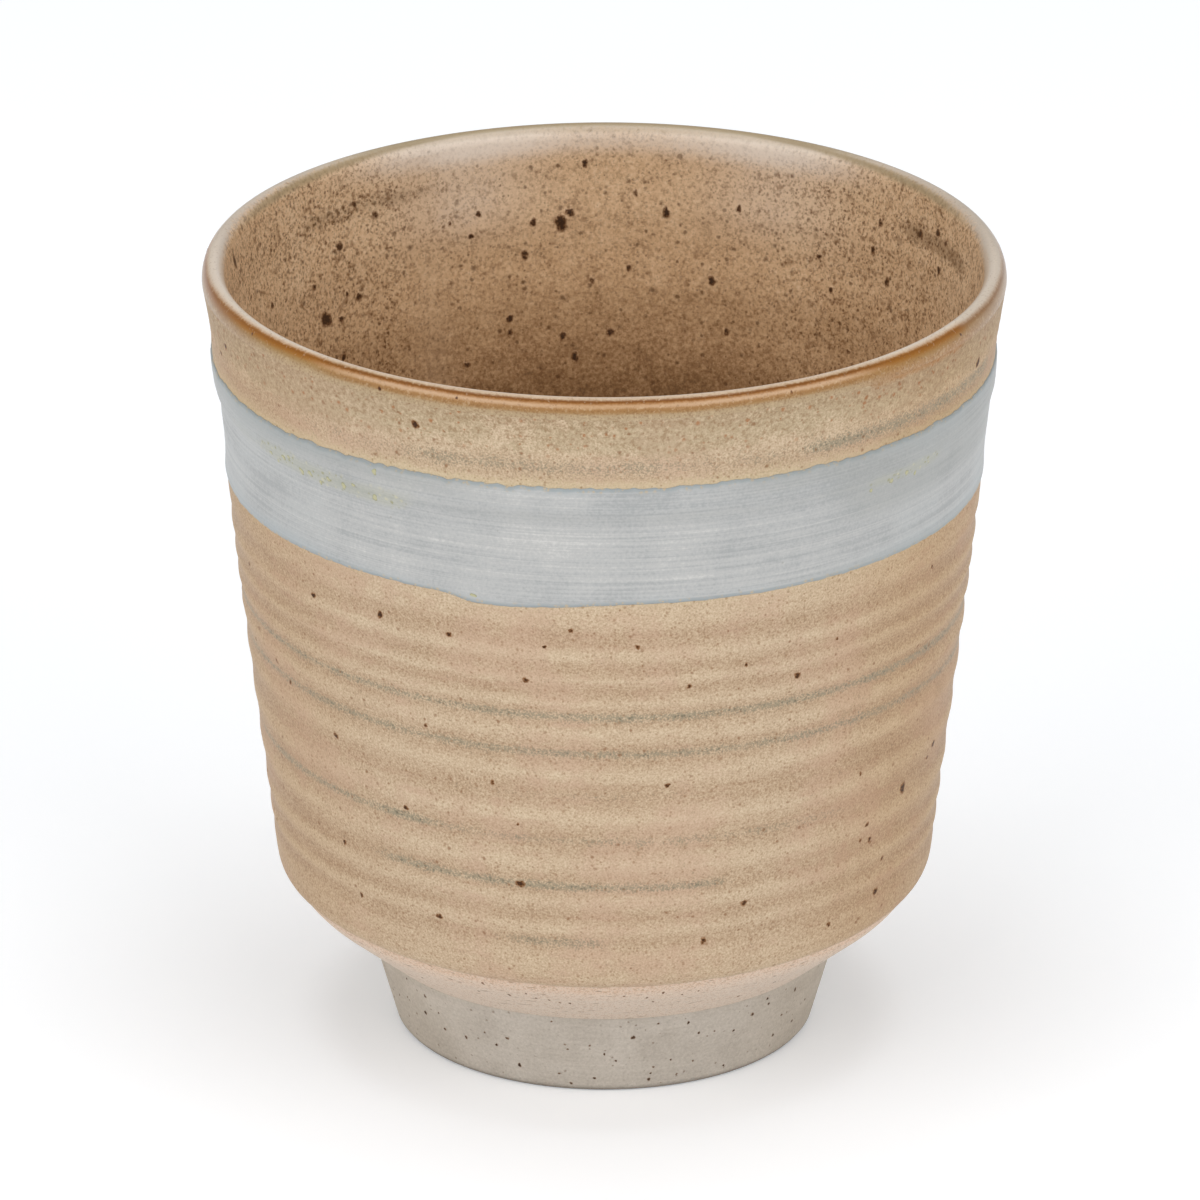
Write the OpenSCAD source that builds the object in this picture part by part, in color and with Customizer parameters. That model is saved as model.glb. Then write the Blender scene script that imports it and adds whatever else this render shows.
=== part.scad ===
// Yunomi tea cup: wheel-thrown stoneware on a turned foot ring, with its coats of glaze and slip.
// The cup stands on z = 0 and is turned about the Z axis.

/* [Cup] */
// Height from the table to the top of the lip
cup_h = 85.7; // [76:0.1:100]
// Diameter across the lip
rim_d = 84; // [78:0.1:96]
// Diameter over the glaze where wall and underside would meet in a sharp corner
corner_d = 69.1; // [64:0.1:76]
// Height of that corner above the foot ring
corner_rise = 7.6; // [5:0.1:12]
// Radius that rounds the corner
corner_r = 8.9; // [3:0.1:12]
// How far the wall swells out between corner and lip
belly = 0.3; // [0:0.01:1]

/* [Clay] */
// Thickness of the wall at the corner, with its coats
wall_t = 4.4; // [3:0.1:6]
// Thickness of the floor, with its coat
floor_t = 5; // [3:0.1:7]
// Radius between wall and floor inside
inside_r = 12; // [4:0.1:20]

/* [Lip] */
// Thickness of the lip, with its coat
lip_t = 2.4; // [1.8:0.1:3.6]
// Height of the rounded top of the lip
lip_round_h = 2.1; // [1.2:0.1:3]
// How far the lip stands out from the line of the wall
lip_flare = 0.25; // [0:0.01:1]
// Height over which the wall flares to the lip
lip_flare_h = 6; // [2:0.1:12]

/* [Throwing rings] */
// Depth of the deepest finger groove
groove_depth = 0.34; // [0.1:0.01:0.6]

/* [Foot] */
// Height of the foot ring
foot_h = 9.5; // [6:0.1:13]
// Diameter of the foot ring under the cup
foot_top_d = 49.6; // [44:0.1:56]
// Diameter of the foot ring on the table
foot_base_d = 44.2; // [38:0.1:50]
// Thickness of the foot ring on the table
foot_t = 4.6; // [3:0.1:8]
// How far the recess narrows from the table to the cup
recess_taper = 0.8; // [0:0.1:2]
// Radius of the two edges that touch the table
foot_edge_r = 0.5; // [0.3:0.1:1.2]

/* [Coats] */
// Thickness of the tan glaze outside
glaze_t = 0.45; // [0.2:0.05:0.8]
// Height of the bare clay between the foot ring and the line where the tan glaze ends
bare_rise = 7.4; // [4:0.1:12]
// Height of the rounded lower edge of the tan glaze
glaze_edge_h = 0.9; // [0.3:0.1:2]
// Thickness of the glaze inside
liner_t = 0.4; // [0.2:0.05:0.8]
// Thickness of the iron glaze over the lip
iron_t = 0.35; // [0.2:0.05:0.7]
// Thickness of the brushed slip band
band_t = 0.25; // [0.1:0.05:0.5]
// Distance of the band's upper edge below the top of the lip
band_drop = 9.9; // [7:0.1:14]
// Width of the band
band_w = 13.2; // [8:0.1:16]
// Height of the rounded edges of the band
band_edge_h = 0.5; // [0.2:0.1:1]

/* [Hidden] */
$fn = 144;

// Steps in an arc, in a rounded coat edge, and from a crest to the next groove
arc_steps = 12;
edge_steps = 5;
ring_steps = 4;

// Heights of the finger grooves on the way from shoulder to lip, and how deep each is pressed
groove_shares = [0.033, 0.081, 0.136, 0.224, 0.309, 0.388, 0.457, 0.505, 0.543, 0.599, 0.777, 0.913];
depth_shares = [0.5, 0.65, 0.7, 0.6, 0.55, 0.7, 0.75, 0.5, 0.55, 0.65, 1, 0.5];
// Most of a straight stretch that rounding may take up
leg_share = 0.98;

rim_r = rim_d / 2;
lip_h = cup_h - lip_round_h;
floor_h = foot_h + floor_t;
corner_h = foot_h + corner_rise;
glaze_line_h = foot_h + bare_rise;
band_high_h = cup_h - band_drop;
band_low_h = band_high_h - band_w;
foot_top_r = foot_top_d / 2;
foot_base_r = foot_base_d / 2;

// Arc that rounds corner b of the path a-b-c
function unit(v) = v / norm(v);
function corner_arc(a, b, c, r) =
    let (
        u = unit(a - b),
        v = unit(c - b),
        half = acos(u * v) / 2,
        reach = min(r / tan(half), leg_share * min(norm(a - b), norm(c - b))),
        radius = reach * tan(half),
        centre = b + unit(u + v) * radius / sin(half),
        first = b + u * reach - centre,
        last = b + v * reach - centre,
        start = atan2(first.y, first.x),
        turn = (atan2(last.y, last.x) - start + 540) % 360 - 180
    )
    [for (k = [0:arc_steps])
        let (angle = start + turn * k / arc_steps)
        centre + radius * [cos(angle), sin(angle)]];

// Clay under the glaze: sloping underside, rounded corner, then the thrown wall
foot_joint = [foot_top_r, foot_h];
clay_corner = [corner_d / 2 - glaze_t, corner_h];
clay_top = [rim_r - lip_flare - glaze_t, lip_h];
shoulder = corner_arc(foot_joint, clay_corner, clay_top, corner_r);
shoulder_h = shoulder[arc_steps].y;
wall_h = lip_h - shoulder_h;

// Groove and crest heights; each crest lies halfway between two grooves
grooves = [for (s = groove_shares) shoulder_h + wall_h * s];
last_groove = len(grooves) - 1;
crests = concat(
    [shoulder_h],
    [for (i = [1:last_groove]) (grooves[i - 1] + grooves[i]) / 2],
    [lip_h]
);

// Press of the potter's fingers at height z: deepest in a groove, none on a crest
function dip(z, i = 0) =
    i > last_groove || z <= shoulder_h ? 0
    : z > crests[i + 1] ? dip(z, i + 1)
    : let (
        crest = z < grooves[i] ? crests[i] : crests[i + 1],
        u = (z - grooves[i]) / (crest - grooves[i])
    )
    groove_depth * depth_shares[i] * (1 + cos(180 * u)) / 2;

// Radius of the clay on the wall, and anywhere above the foot
function wall_r(z) =
    let (
        t = (z - shoulder_h) / wall_h,
        flare = max(0, z - lip_h + lip_flare_h) / lip_flare_h
    )
    lookup(z, [[corner_h, clay_corner.x], [lip_h, clay_top.x]])
        + belly * sin(180 * t) + lip_flare * flare * flare - dip(z);
function clay_r(z) =
    z >= shoulder_h ? wall_r(z)
    : lookup(z, concat([[foot_h, foot_top_r]], [for (p = shoulder) [p.y, p.x]]));

// Thickness of a coat near its rounded edge, a way s up from that edge
function rounded(s) = s >= 1 ? 1 : sqrt(1 - (1 - s) * (1 - s));
function glaze_at(z) = glaze_t * rounded((z - glaze_line_h) / glaze_edge_h);
function glaze_r(z) = clay_r(z) + glaze_at(z);
function band_at(z) = band_t * rounded(min(z - band_low_h, band_high_h - z) / band_edge_h);

// Heights at which the outlines have a point, in rising order
edge_shares = [for (k = [1:edge_steps]) 1 - cos(90 * k / edge_steps)];
function edge_up(h, size) = concat([h], [for (s = edge_shares) h + size * s]);
function edge_down(h, size) = concat([for (k = [edge_steps:-1:1]) h - size * edge_shares[k - 1]], [h]);
function between(list, low, high) = [for (z = list) if (z > low && z < high) z];
shape_heights = concat(
    [for (p = shoulder) p.y],
    [for (i = [0:last_groove], side = [0, 1], k = [1:ring_steps])
        let (
            from = side == 0 ? crests[i] : grooves[i],
            to = side == 0 ? grooves[i] : crests[i + 1]
        )
        from + (to - from) * k / ring_steps]
);
glaze_edge = edge_up(glaze_line_h, glaze_edge_h);
band_low_edge = edge_up(band_low_h, band_edge_h);
band_high_edge = edge_down(band_high_h, band_edge_h);
bare_heights = concat([foot_h], between(shape_heights, foot_h, glaze_line_h));
band_heights = concat(
    band_low_edge,
    between(shape_heights, band_low_edge[edge_steps], band_high_edge[0]),
    band_high_edge
);
glaze_heights = concat(
    glaze_edge,
    between(shape_heights, glaze_edge[edge_steps], band_low_h),
    band_heights,
    between(shape_heights, band_high_h, lip_h),
    [lip_h]
);

function reversed(list) = [for (k = [len(list) - 1:-1:0]) list[k]];

// Rounded top of the lip, sunk by t, from the outside to the inside
function lip_arc(t) = [for (k = [0:2 * arc_steps])
    let (angle = 90 * k / arc_steps)
    [rim_r - lip_t / 2 + (lip_t / 2 - t) * cos(angle), lip_h + (lip_round_h - t) * sin(angle)]];

// Inside of the cup, sunk by t, from the lip down to the middle of the floor
inside_top_r = rim_r - lip_t;
inside_lean = (inside_top_r - corner_d / 2 + wall_t) / (lip_h - corner_h);
function inside_path(t) =
    let (
        top = [inside_top_r + t, lip_h],
        low = [inside_top_r + t - inside_lean * (lip_h - floor_h + t), floor_h - t],
        middle = [0, floor_h - t]
    )
    concat([top], corner_arc(top, low, middle, inside_r + t), [middle]);

// Thrown wall and floor of stoneware, bare on the underside
module cup_body() {
    color("#cbb39b")
    rotate_extrude()
    polygon(concat(
        [[0, foot_h]],
        [for (z = concat(bare_heights, glaze_heights)) [clay_r(z), z]],
        lip_arc(iron_t),
        inside_path(liner_t)
    ));
}

// Turned foot ring, luted to the underside, with a recess inside
module foot_ring() {
    recess_base_r = foot_base_r - foot_t;
    outer_top = [foot_top_r, foot_h];
    outer_base = [foot_base_r, 0];
    inner_base = [recess_base_r, 0];
    inner_top = [recess_base_r - recess_taper, foot_h];
    color("#b5aa9d")
    rotate_extrude()
    polygon(concat(
        [outer_top],
        corner_arc(outer_top, outer_base, inner_base, foot_edge_r),
        corner_arc(outer_base, inner_base, inner_top, foot_edge_r),
        [inner_top]
    ));
}

// Tan glaze from its line above the bare clay up to the lip, with the throwing rings
module outer_glaze() {
    color("#c0a27e")
    rotate_extrude()
    polygon(concat(
        [for (z = glaze_heights) [clay_r(z), z]],
        [for (z = reversed(glaze_heights)) if (z > glaze_line_h) [glaze_r(z), z]]
    ));
}

// Pale blue-grey slip brushed round the cup over the tan glaze
module slip_band() {
    color("#bcbfbd")
    rotate_extrude()
    polygon(concat(
        [for (z = band_heights) [glaze_r(z), z]],
        [for (z = reversed(band_heights)) if (band_at(z) > 0) [glaze_r(z) + band_at(z), z]]
    ));
}

// Iron-brown glaze over the rounded lip
module iron_lip() {
    color("#9a6a38")
    rotate_extrude()
    polygon(concat(lip_arc(0), reversed(lip_arc(iron_t))));
}

// Speckled glaze inside, from the lip over the floor
module liner_glaze() {
    color("#a5845f")
    rotate_extrude()
    polygon(concat(inside_path(0), reversed(inside_path(liner_t))));
}

cup_body();
foot_ring();
outer_glaze();
slip_band();
iron_lip();
liner_glaze();
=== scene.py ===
"""Yunomi tea cup: thrown clay, coats of glaze and slip, and iron specks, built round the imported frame."""

import math

import bpy
import numpy as np
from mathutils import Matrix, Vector


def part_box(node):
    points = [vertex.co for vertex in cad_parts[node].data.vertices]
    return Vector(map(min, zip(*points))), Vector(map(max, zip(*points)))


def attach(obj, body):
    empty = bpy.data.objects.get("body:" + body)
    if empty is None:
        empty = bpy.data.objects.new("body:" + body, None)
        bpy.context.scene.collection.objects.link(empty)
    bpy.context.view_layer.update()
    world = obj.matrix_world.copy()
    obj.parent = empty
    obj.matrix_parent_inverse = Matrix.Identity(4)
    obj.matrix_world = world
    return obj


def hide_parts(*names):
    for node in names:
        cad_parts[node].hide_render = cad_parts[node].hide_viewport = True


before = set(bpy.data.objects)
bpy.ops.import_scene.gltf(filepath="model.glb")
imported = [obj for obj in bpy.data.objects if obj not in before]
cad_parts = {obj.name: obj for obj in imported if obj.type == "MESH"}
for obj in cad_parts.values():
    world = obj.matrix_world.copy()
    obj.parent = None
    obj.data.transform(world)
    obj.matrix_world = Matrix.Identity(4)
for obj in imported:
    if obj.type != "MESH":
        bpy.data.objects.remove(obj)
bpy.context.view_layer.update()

MM = 0.001
DEGREE = math.pi / 180

# Sizes that the frame gives
lip_low, lip_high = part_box("iron_lip")
RIM_R, CUP_H, LIP_H = lip_high.x, lip_high.z, lip_low.z
GLAZE_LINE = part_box("outer_glaze")[0].z
BAND_LOW, BAND_HIGH = (corner.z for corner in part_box("slip_band"))
FOOT_TOP_R, FOOT_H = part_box("foot_ring")[1].x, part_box("foot_ring")[1].z
LINER_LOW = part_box("liner_glaze")[0].z

# Sizes that the boxes don't give, as in the CAD source
CORNER_R = 34.55 * MM
CORNER_RISE = 7.6 * MM
CORNER_ROUND = 8.9 * MM
BELLY = 0.3 * MM
WALL_T = 4.4 * MM
INSIDE_ROUND = 12 * MM
LIP_T = 2.4 * MM
LIP_FLARE = 0.25 * MM
LIP_FLARE_H = 6 * MM
FOOT_BASE_R = 22.1 * MM
FOOT_T = 4.6 * MM
RECESS_TAPER = 0.8 * MM
FOOT_EDGE = 0.5 * MM
GLAZE_T = 0.45 * MM
GLAZE_EDGE_H = 0.9 * MM
LINER_T = 0.4 * MM
IRON_T = 0.35 * MM
BAND_T = 0.25 * MM
BAND_EDGE_H = 0.5 * MM
GROOVE_DEPTH = 0.34 * MM
GROOVE_SHARES = (0.033, 0.081, 0.136, 0.224, 0.309, 0.388, 0.457, 0.505, 0.543, 0.599, 0.777, 0.913)
DEPTH_SHARES = (0.5, 0.65, 0.7, 0.6, 0.55, 0.7, 0.75, 0.5, 0.55, 0.65, 1, 0.5)

# Hand of the potter: how the spiral of the fingers lags across the front, and the fine lines along it,
# with the waves that make them up (how many to a pitch, and where each starts)
SPIRAL_LAG = 0.32
FINE_PITCH = 3.0 * MM
FINE_LINES = 0.025 * MM
FINE_SWING = 3.1 * MM
FINE_WAVES = ((2, 0.3), (3, 1.7), (5, 4.1), (7, 2.2))
# How far the thin edge of a coat is tucked into what carries it
TUCK = 0.05 * MM
# Faces in one row round the cup
COLUMNS = 480


# Small curves


def smooth(x, low, high):
    """0 below low, 1 above high, and a smooth step between them."""
    t = np.clip((x - low) / (high - low), 0, 1)
    return t * t * (3 - 2 * t)


def window(turn, start, end, soft=10):
    """1 between two angles in degrees from the front, fading out over soft degrees at both ends."""
    angle = turn / DEGREE
    return smooth(angle, start - soft, start) * (1 - smooth(angle, end, end + soft))


def bell(off, width):
    """1 in the middle, fading out over about this width on both sides."""
    return np.exp(-(off / width) ** 2)


def apart(angle, centre):
    """Degrees from one angle to another, the shorter way round."""
    return (angle - centre + 180) % 360 - 180


def waver(turn, seed, first, last, fall=1.0):
    """Irregular line round the cup, about -1 to 1, from waves that go round first to last times."""
    rng = np.random.default_rng(seed)
    waves = np.arange(first, last + 1)
    sizes = waves ** -fall
    starts = rng.uniform(0, 2 * math.pi, len(waves))
    total = sum(a * np.sin(k * turn + s) for k, a, s in zip(waves, sizes, starts))
    return total / math.sqrt((sizes ** 2).sum()) / 2


def rounded(share):
    """Quarter round of a coat's edge: 0 at the edge and 1 from share 1 on."""
    return np.sqrt(1 - (1 - np.clip(share, 0, 1)) ** 2)


def corner_arc(a, b, c, radius):
    """Ends and centre of the arc that rounds corner b of the path a, b, c."""
    u = (a - b) / np.linalg.norm(a - b)
    v = (c - b) / np.linalg.norm(c - b)
    half = math.acos(u @ v) / 2
    reach = radius / math.tan(half)
    bisector = (u + v) / np.linalg.norm(u + v)
    return b + u * reach, b + v * reach, b + bisector * radius / math.sin(half)


# Outline of the clay outside, as (radius, height)
JOINT = np.array([FOOT_TOP_R, FOOT_H])
CORNER = np.array([CORNER_R - GLAZE_T, FOOT_H + CORNER_RISE])
WALL_TOP = np.array([RIM_R - LIP_FLARE - GLAZE_T, LIP_H])
SHOULDER_LOW, SHOULDER_HIGH, SHOULDER_CENTRE = corner_arc(JOINT, CORNER, WALL_TOP, CORNER_ROUND)
SHOULDER_H = SHOULDER_HIGH[1]
WALL_H = LIP_H - SHOULDER_H


def clay_line(z):
    """Radius of the clay outside at height z, before the fingers press rings into it."""
    under = np.interp(z, [JOINT[1], CORNER[1]], [JOINT[0], CORNER[0]])
    arc = SHOULDER_CENTRE[0] + np.sqrt(np.maximum(CORNER_ROUND ** 2 - (z - SHOULDER_CENTRE[1]) ** 2, 0))
    wall = np.interp(z, [CORNER[1], LIP_H], [CORNER[0], WALL_TOP[0]])
    swell = BELLY * np.sin(math.pi * np.clip((z - SHOULDER_H) / WALL_H, 0, 1))
    flare = LIP_FLARE * (np.clip(z - LIP_H + LIP_FLARE_H, 0, None) / LIP_FLARE_H) ** 2
    return np.where(z < SHOULDER_LOW[1], under, np.where(z < SHOULDER_H, arc, wall + swell + flare))


# Throwing rings: one spiral that climbs to the left, with its grooves at these heights in front
GROOVES = SHOULDER_H + WALL_H * np.array(GROOVE_SHARES)
# The glaze fills the grooves of the clay in part
FILLED = 0.28
DEPTHS = GROOVE_DEPTH * (1 - FILLED) * np.array(DEPTH_SHARES)
# The broad groove under the band is a hollow of its own, with a step at its upper end
HOLLOW = 10
HOLLOW_DEPTH = 0.4 * MM
HOLLOW_LOW = (61 * MM, 66.5 * MM)
HOLLOW_STEP = (70.6 * MM, 73.4 * MM)
DEPTHS[HOLLOW] = 0
CRESTS = np.concatenate([[SHOULDER_H], (GROOVES[1:] + GROOVES[:-1]) / 2, [LIP_H]])
# The wall stays on the crest from the topmost ring to the hollow under the band
TOP_RING = 9
PLATEAU = (60.2 * MM, 65.5 * MM)
PLATEAU_COUNTS = (TOP_RING + 0.42, TOP_RING + 0.58)
RING_HEIGHTS = np.sort(np.concatenate([GROOVES, np.delete(CRESTS, TOP_RING + 1), PLATEAU]))
GROOVE_COUNTS = np.arange(len(GROOVES))
CREST_COUNTS = np.delete(np.arange(len(CRESTS)) - 0.5, TOP_RING + 1)
RING_COUNTS = np.sort(np.concatenate([GROOVE_COUNTS, CREST_COUNTS, PLATEAU_COUNTS]))
# The crests are narrower than the grooves by this power
CREST_POWER = 1.6


def spiral(turn):
    """Turns that the spiral has made from the front to this angle; it goes slowly across the front."""
    return (turn - SPIRAL_LAG * np.sin(turn)) / (2 * math.pi)


def ring_phase(z, turn):
    """Whole numbers lie in the grooves, halves on the crests."""
    return np.interp(z, RING_HEIGHTS, RING_COUNTS) + spiral(turn)


def ring_press(z, turn):
    """How far into a groove a place is: 0 on a crest, 1 in a groove."""
    crest = (1 - np.cos(2 * math.pi * ring_phase(z, turn))) / 2
    return 1 - crest ** CREST_POWER


def ring_depth(z):
    """Depth of the grooves at a height."""
    return np.interp(z, [SHOULDER_H, *GROOVES, LIP_H], [0, *DEPTHS, 0])


def hollow_press(z, turn):
    """Press of the broad hollow under the band, deeper on the left."""
    depth = HOLLOW_DEPTH * (1 - 0.25 * np.sin(turn))
    return depth * smooth(z, *HOLLOW_LOW) * (1 - smooth(z, *HOLLOW_STEP))


def fine_lines(z, turn):
    """Thin lines that sponge and fingertip leave along the spiral, about -1 to 1."""
    along = z / FINE_PITCH + spiral(turn)
    swing = 0.6 + 0.4 * np.sin(z / FINE_SWING + 2 * np.sin(turn))
    return swing * sum(np.cos(2 * math.pi * k * along + start) / k for k, start in FINE_WAVES)


def glaze_surface(z, turn):
    """Radius of the tan glaze where it is at full thickness."""
    lines = FINE_LINES * fine_lines(z, turn) * smooth(z, SHOULDER_H, SHOULDER_H + 4 * MM)
    press = ring_depth(z) * ring_press(z, turn) * (1 + 0.25 * waver(turn, 5, 1, 4))
    room = 1 - smooth(z, LIP_H - 3 * MM, LIP_H)
    return clay_line(z) + GLAZE_T - press - hollow_press(z, turn) + lines * room


def glaze_line_lift(turn):
    """How far the lower edge of the tan glaze strays from its mean height."""
    fine = 0.05 * waver(turn, 12, 20, 120, 0.5)
    return (0.9 * np.sin(turn) ** 2 + 0.2 * waver(turn, 11, 1, 6) + fine) * MM


def band_low_edge(turn):
    """Height of the band's lower edge, with the sag where the brush stroke starts over its own end."""
    angle = turn / DEGREE
    sag = 0.72 * smooth(angle, -26, -18) * (1 - smooth(angle, -18, 6))
    return BAND_LOW + (0.12 * waver(turn, 21, 2, 9) + 0.08 * waver(turn, 22, 20, 200, 0.2) - sag) * MM


def band_high_edge(turn):
    """Height of the band's upper edge, ragged where the brush lifted."""
    fine = 0.12 * waver(turn, 33, 12, 50, 0.3) + 0.18 * waver(turn, 32, 40, 200, 0.1)
    return BAND_HIGH + (0.1 * waver(turn, 31, 2, 9) + fine) * MM


# Inside of the cup, as (radius, height)
INSIDE_TOP_R = RIM_R - LIP_T
FLOOR_H = LINER_LOW + LINER_T
INSIDE_LEAN = (INSIDE_TOP_R - CORNER_R + WALL_T) / (LIP_H - FOOT_H - CORNER_RISE)
INSIDE_TOP = np.array([INSIDE_TOP_R, LIP_H])
INSIDE_LOW = np.array([INSIDE_TOP_R - INSIDE_LEAN * (LIP_H - FLOOR_H), FLOOR_H])
FILLET_HIGH, FILLET_LOW, FILLET_CENTRE = corner_arc(
    INSIDE_TOP, INSIDE_LOW, np.array([0, FLOOR_H]), INSIDE_ROUND
)


# Where the round of the lip runs into the leaning wall inside: its angle, and how far the wall bends to it
LIP_END = math.pi - math.atan(INSIDE_LEAN * (CUP_H - LIP_H) / (LIP_T / 2))
LIP_END_H = LIP_H + (CUP_H - LIP_H) * math.sin(LIP_END)
LIP_END_R = RIM_R - LIP_T / 2 * (1 - math.cos(LIP_END))
LIP_BEND = INSIDE_TOP_R + INSIDE_LEAN * (LIP_END_H - LIP_H) - LIP_END_R


def inside_line(z):
    """Radius of the inside wall at a height above the fillet."""
    return INSIDE_TOP_R - INSIDE_LEAN * (LIP_H - z) - LIP_BEND * smooth(z, LIP_H - 6 * MM, LIP_END_H)


def inside_wave(z, turn):
    """Soft rings inside, left by the fingers that held the wall from there."""
    along = z / (8.5 * MM) + spiral(turn)
    fade = 1 - smooth(z, LIP_H - 7 * MM, LIP_H - 1 * MM)
    return 0.05 * MM * fade * (np.cos(2 * math.pi * along) + 0.3 * np.cos(6 * math.pi * along + 1))


# Meshes


# Rows where the outline turns by more than about 45 degrees get a sharp edge
SHARP_BEND = 0.7
# UV map: gaps beside and between strips, and where the two fans on the axis lie
MAP_SIDE = 0.002
MAP_GAP = 0.02
FAN_SIZE = 0.02
FAN_U = 0.975
FAN_V = (0.975, 0.925)
TURN = (np.arange(COLUMNS) + 0.5) / COLUMNS * 2 * math.pi - math.pi


def points(radius, turn, z):
    """Places on the cup: turn is the angle from the front, towards the right."""
    return np.stack(np.broadcast_arrays(radius * np.sin(turn), -radius * np.cos(turn), z), -1)


def strip_map(run, arc, box, cuts):
    """UV corners of a run of rows: the way round is cut into equal lengths, laid one over another."""
    first, last = run
    low_u, low_v, high_u, high_v = box
    per = COLUMNS // cuts
    column = np.arange(COLUMNS)
    height = (high_v - low_v) / cuts
    gap = MAP_GAP * height
    wide = (high_u - low_u) * (1 - 2 * MAP_SIDE)
    share = (arc[first:last + 1] - arc[first]) / (arc[last] - arc[first])
    left = low_u + (high_u - low_u) * MAP_SIDE + wide * (column % per) / per
    right = left + wide / per
    base = low_v + (column // per) * height + gap
    v = base[None, :] + share[:, None] * (height - 2 * gap)
    left, right = (np.broadcast_to(side, v[:-1].shape) for side in (left, right))
    corners = ((left, v[:-1]), (right, v[:-1]), (right, v[1:]), (left, v[1:]))
    return np.stack([np.stack(c, -1) for c in corners], -2).reshape(-1, 4, 2)


def new_piece(name, vertices, faces, corners, fields, material, body_slot, *nodes, sharp_rows=()):
    """Mesh object with the bake's UV map and one float attribute for each field, riding on the cup."""
    mesh = bpy.data.meshes.new(name)
    mesh.from_pydata(vertices.tolist(), [], faces)
    mesh.polygons.foreach_set("use_smooth", np.ones(len(mesh.polygons), bool))
    if len(sharp_rows):
        ends = np.empty(2 * len(mesh.edges), np.int32)
        mesh.edges.foreach_get("vertices", ends)
        first, last = (ends.reshape(-1, 2) // COLUMNS).T
        sharp = mesh.attributes.new("sharp_edge", "BOOLEAN", "EDGE")
        sharp.data.foreach_set("value", (first == last) & np.isin(first, sharp_rows))
    layer = mesh.uv_layers.new(name="OFBake")
    layer.data.foreach_set("uv", np.ravel(corners).astype(np.float32))
    for field, values in fields.items():
        attribute = mesh.attributes.new(field, "FLOAT", "POINT")
        attribute.data.foreach_set("value", np.ravel(values).astype(np.float32))
    mesh.materials.append(material)
    piece = bpy.data.objects.new(name, mesh)
    bpy.context.scene.collection.objects.link(piece)
    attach(piece, "root")
    if nodes:
        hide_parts(*nodes)


def lathe(name, radius, z, charts, fields, material, body_slot, poles=None):
    """Closed piece turned round the axis. Rows run up the outside and down the inside.

    poles gives the heights on the axis below the first row and after the last one; without it the
    rows close on themselves. charts lists (last row, UV box, cuts) for each run of rows.
    """
    rows = len(radius)
    grid = np.arange(rows * COLUMNS).reshape(rows, COLUMNS)
    vertices = points(radius, TURN, z).reshape(-1, 3)
    if poles is None:
        grid = np.concatenate([grid, grid[:1]])
    beside = np.roll(grid, -1, 1)
    quads = np.stack([grid[:-1], beside[:-1], beside[1:], grid[1:]], -1).reshape(-1, 4)
    faces = quads.tolist()
    outline = np.stack([radius.mean(1), z.mean(1)], -1)
    if poles is None:
        outline = np.concatenate([outline, outline[:1]])
    steps = np.diff(outline, axis=0)
    lengths = np.linalg.norm(steps, axis=1)
    arc = np.concatenate([[0], np.cumsum(lengths)])
    ways = steps / lengths[:, None]
    before = np.roll(ways, 1, 0)[:rows] if poles is None else np.concatenate([ways[:1], ways])
    after = ways[:rows] if poles is None else np.concatenate([ways, ways[-1:]])
    sharp_rows = np.flatnonzero((before * after).sum(1) < SHARP_BEND)
    corners = []
    first = 0
    for last, box, cuts in charts:
        corners.append(strip_map((first, last), arc, box, cuts))
        first = last
    corners = [np.concatenate(corners).reshape(-1, 2)]
    fields = {**fields, "speck": 0}
    values = {field: np.broadcast_to(v, radius.shape).reshape(-1) for field, v in fields.items()}
    if poles is not None:
        low, high = len(vertices), len(vertices) + 1
        vertices = np.concatenate([vertices, [[0, 0, poles[0]], [0, 0, poles[1]]]])
        values = {field: np.concatenate([v, [0, 0]]) for field, v in values.items()}
        circle = FAN_SIZE * np.stack([np.sin(TURN), np.cos(TURN)], -1)
        beyond = np.roll(circle, -1, 0)
        for pole, row, spot in ((low, grid[0], FAN_V[0]), (high, grid[-1], FAN_V[1])):
            centre = np.broadcast_to([FAN_U, spot], circle.shape)
            turned = pole == low
            first_row, next_row = (np.roll(row, -1), row) if turned else (row, np.roll(row, -1))
            faces += [[pole, int(a), int(b)] for a, b in zip(first_row, next_row)]
            a, b = (beyond, circle) if turned else (circle, beyond)
            corners.append(np.stack([centre, centre + a, centre + b], 1).reshape(-1, 2))
    corners = np.concatenate(corners)
    new_piece(name, vertices, faces, corners, values, material, body_slot, name, sharp_rows=sharp_rows)


# Dome of a speck: its sides, the size, lift and mark of each ring, and the lift of its top and its back
SPECK_SIDES = 16
SPECK_SIZES = np.array([0.3, 0.6, 0.85, 1.0])
SPECK_LIFTS = np.array([0.03, 0.024, 0.01, -0.012]) * MM
SPECK_MARKS = np.array([0.94, 0.62, 0.24, 0.0])
SPECK_TOP = 0.032 * MM
SPECK_BACK = -0.03 * MM
# Each speck has a cell of the UV map: place and size of the dome in it, and of its back
DOME_SPOT, DOME_SIZE = 0.4, 0.2
BACK_SPOT, BACK_SIZE = 0.88, 0.08


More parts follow.
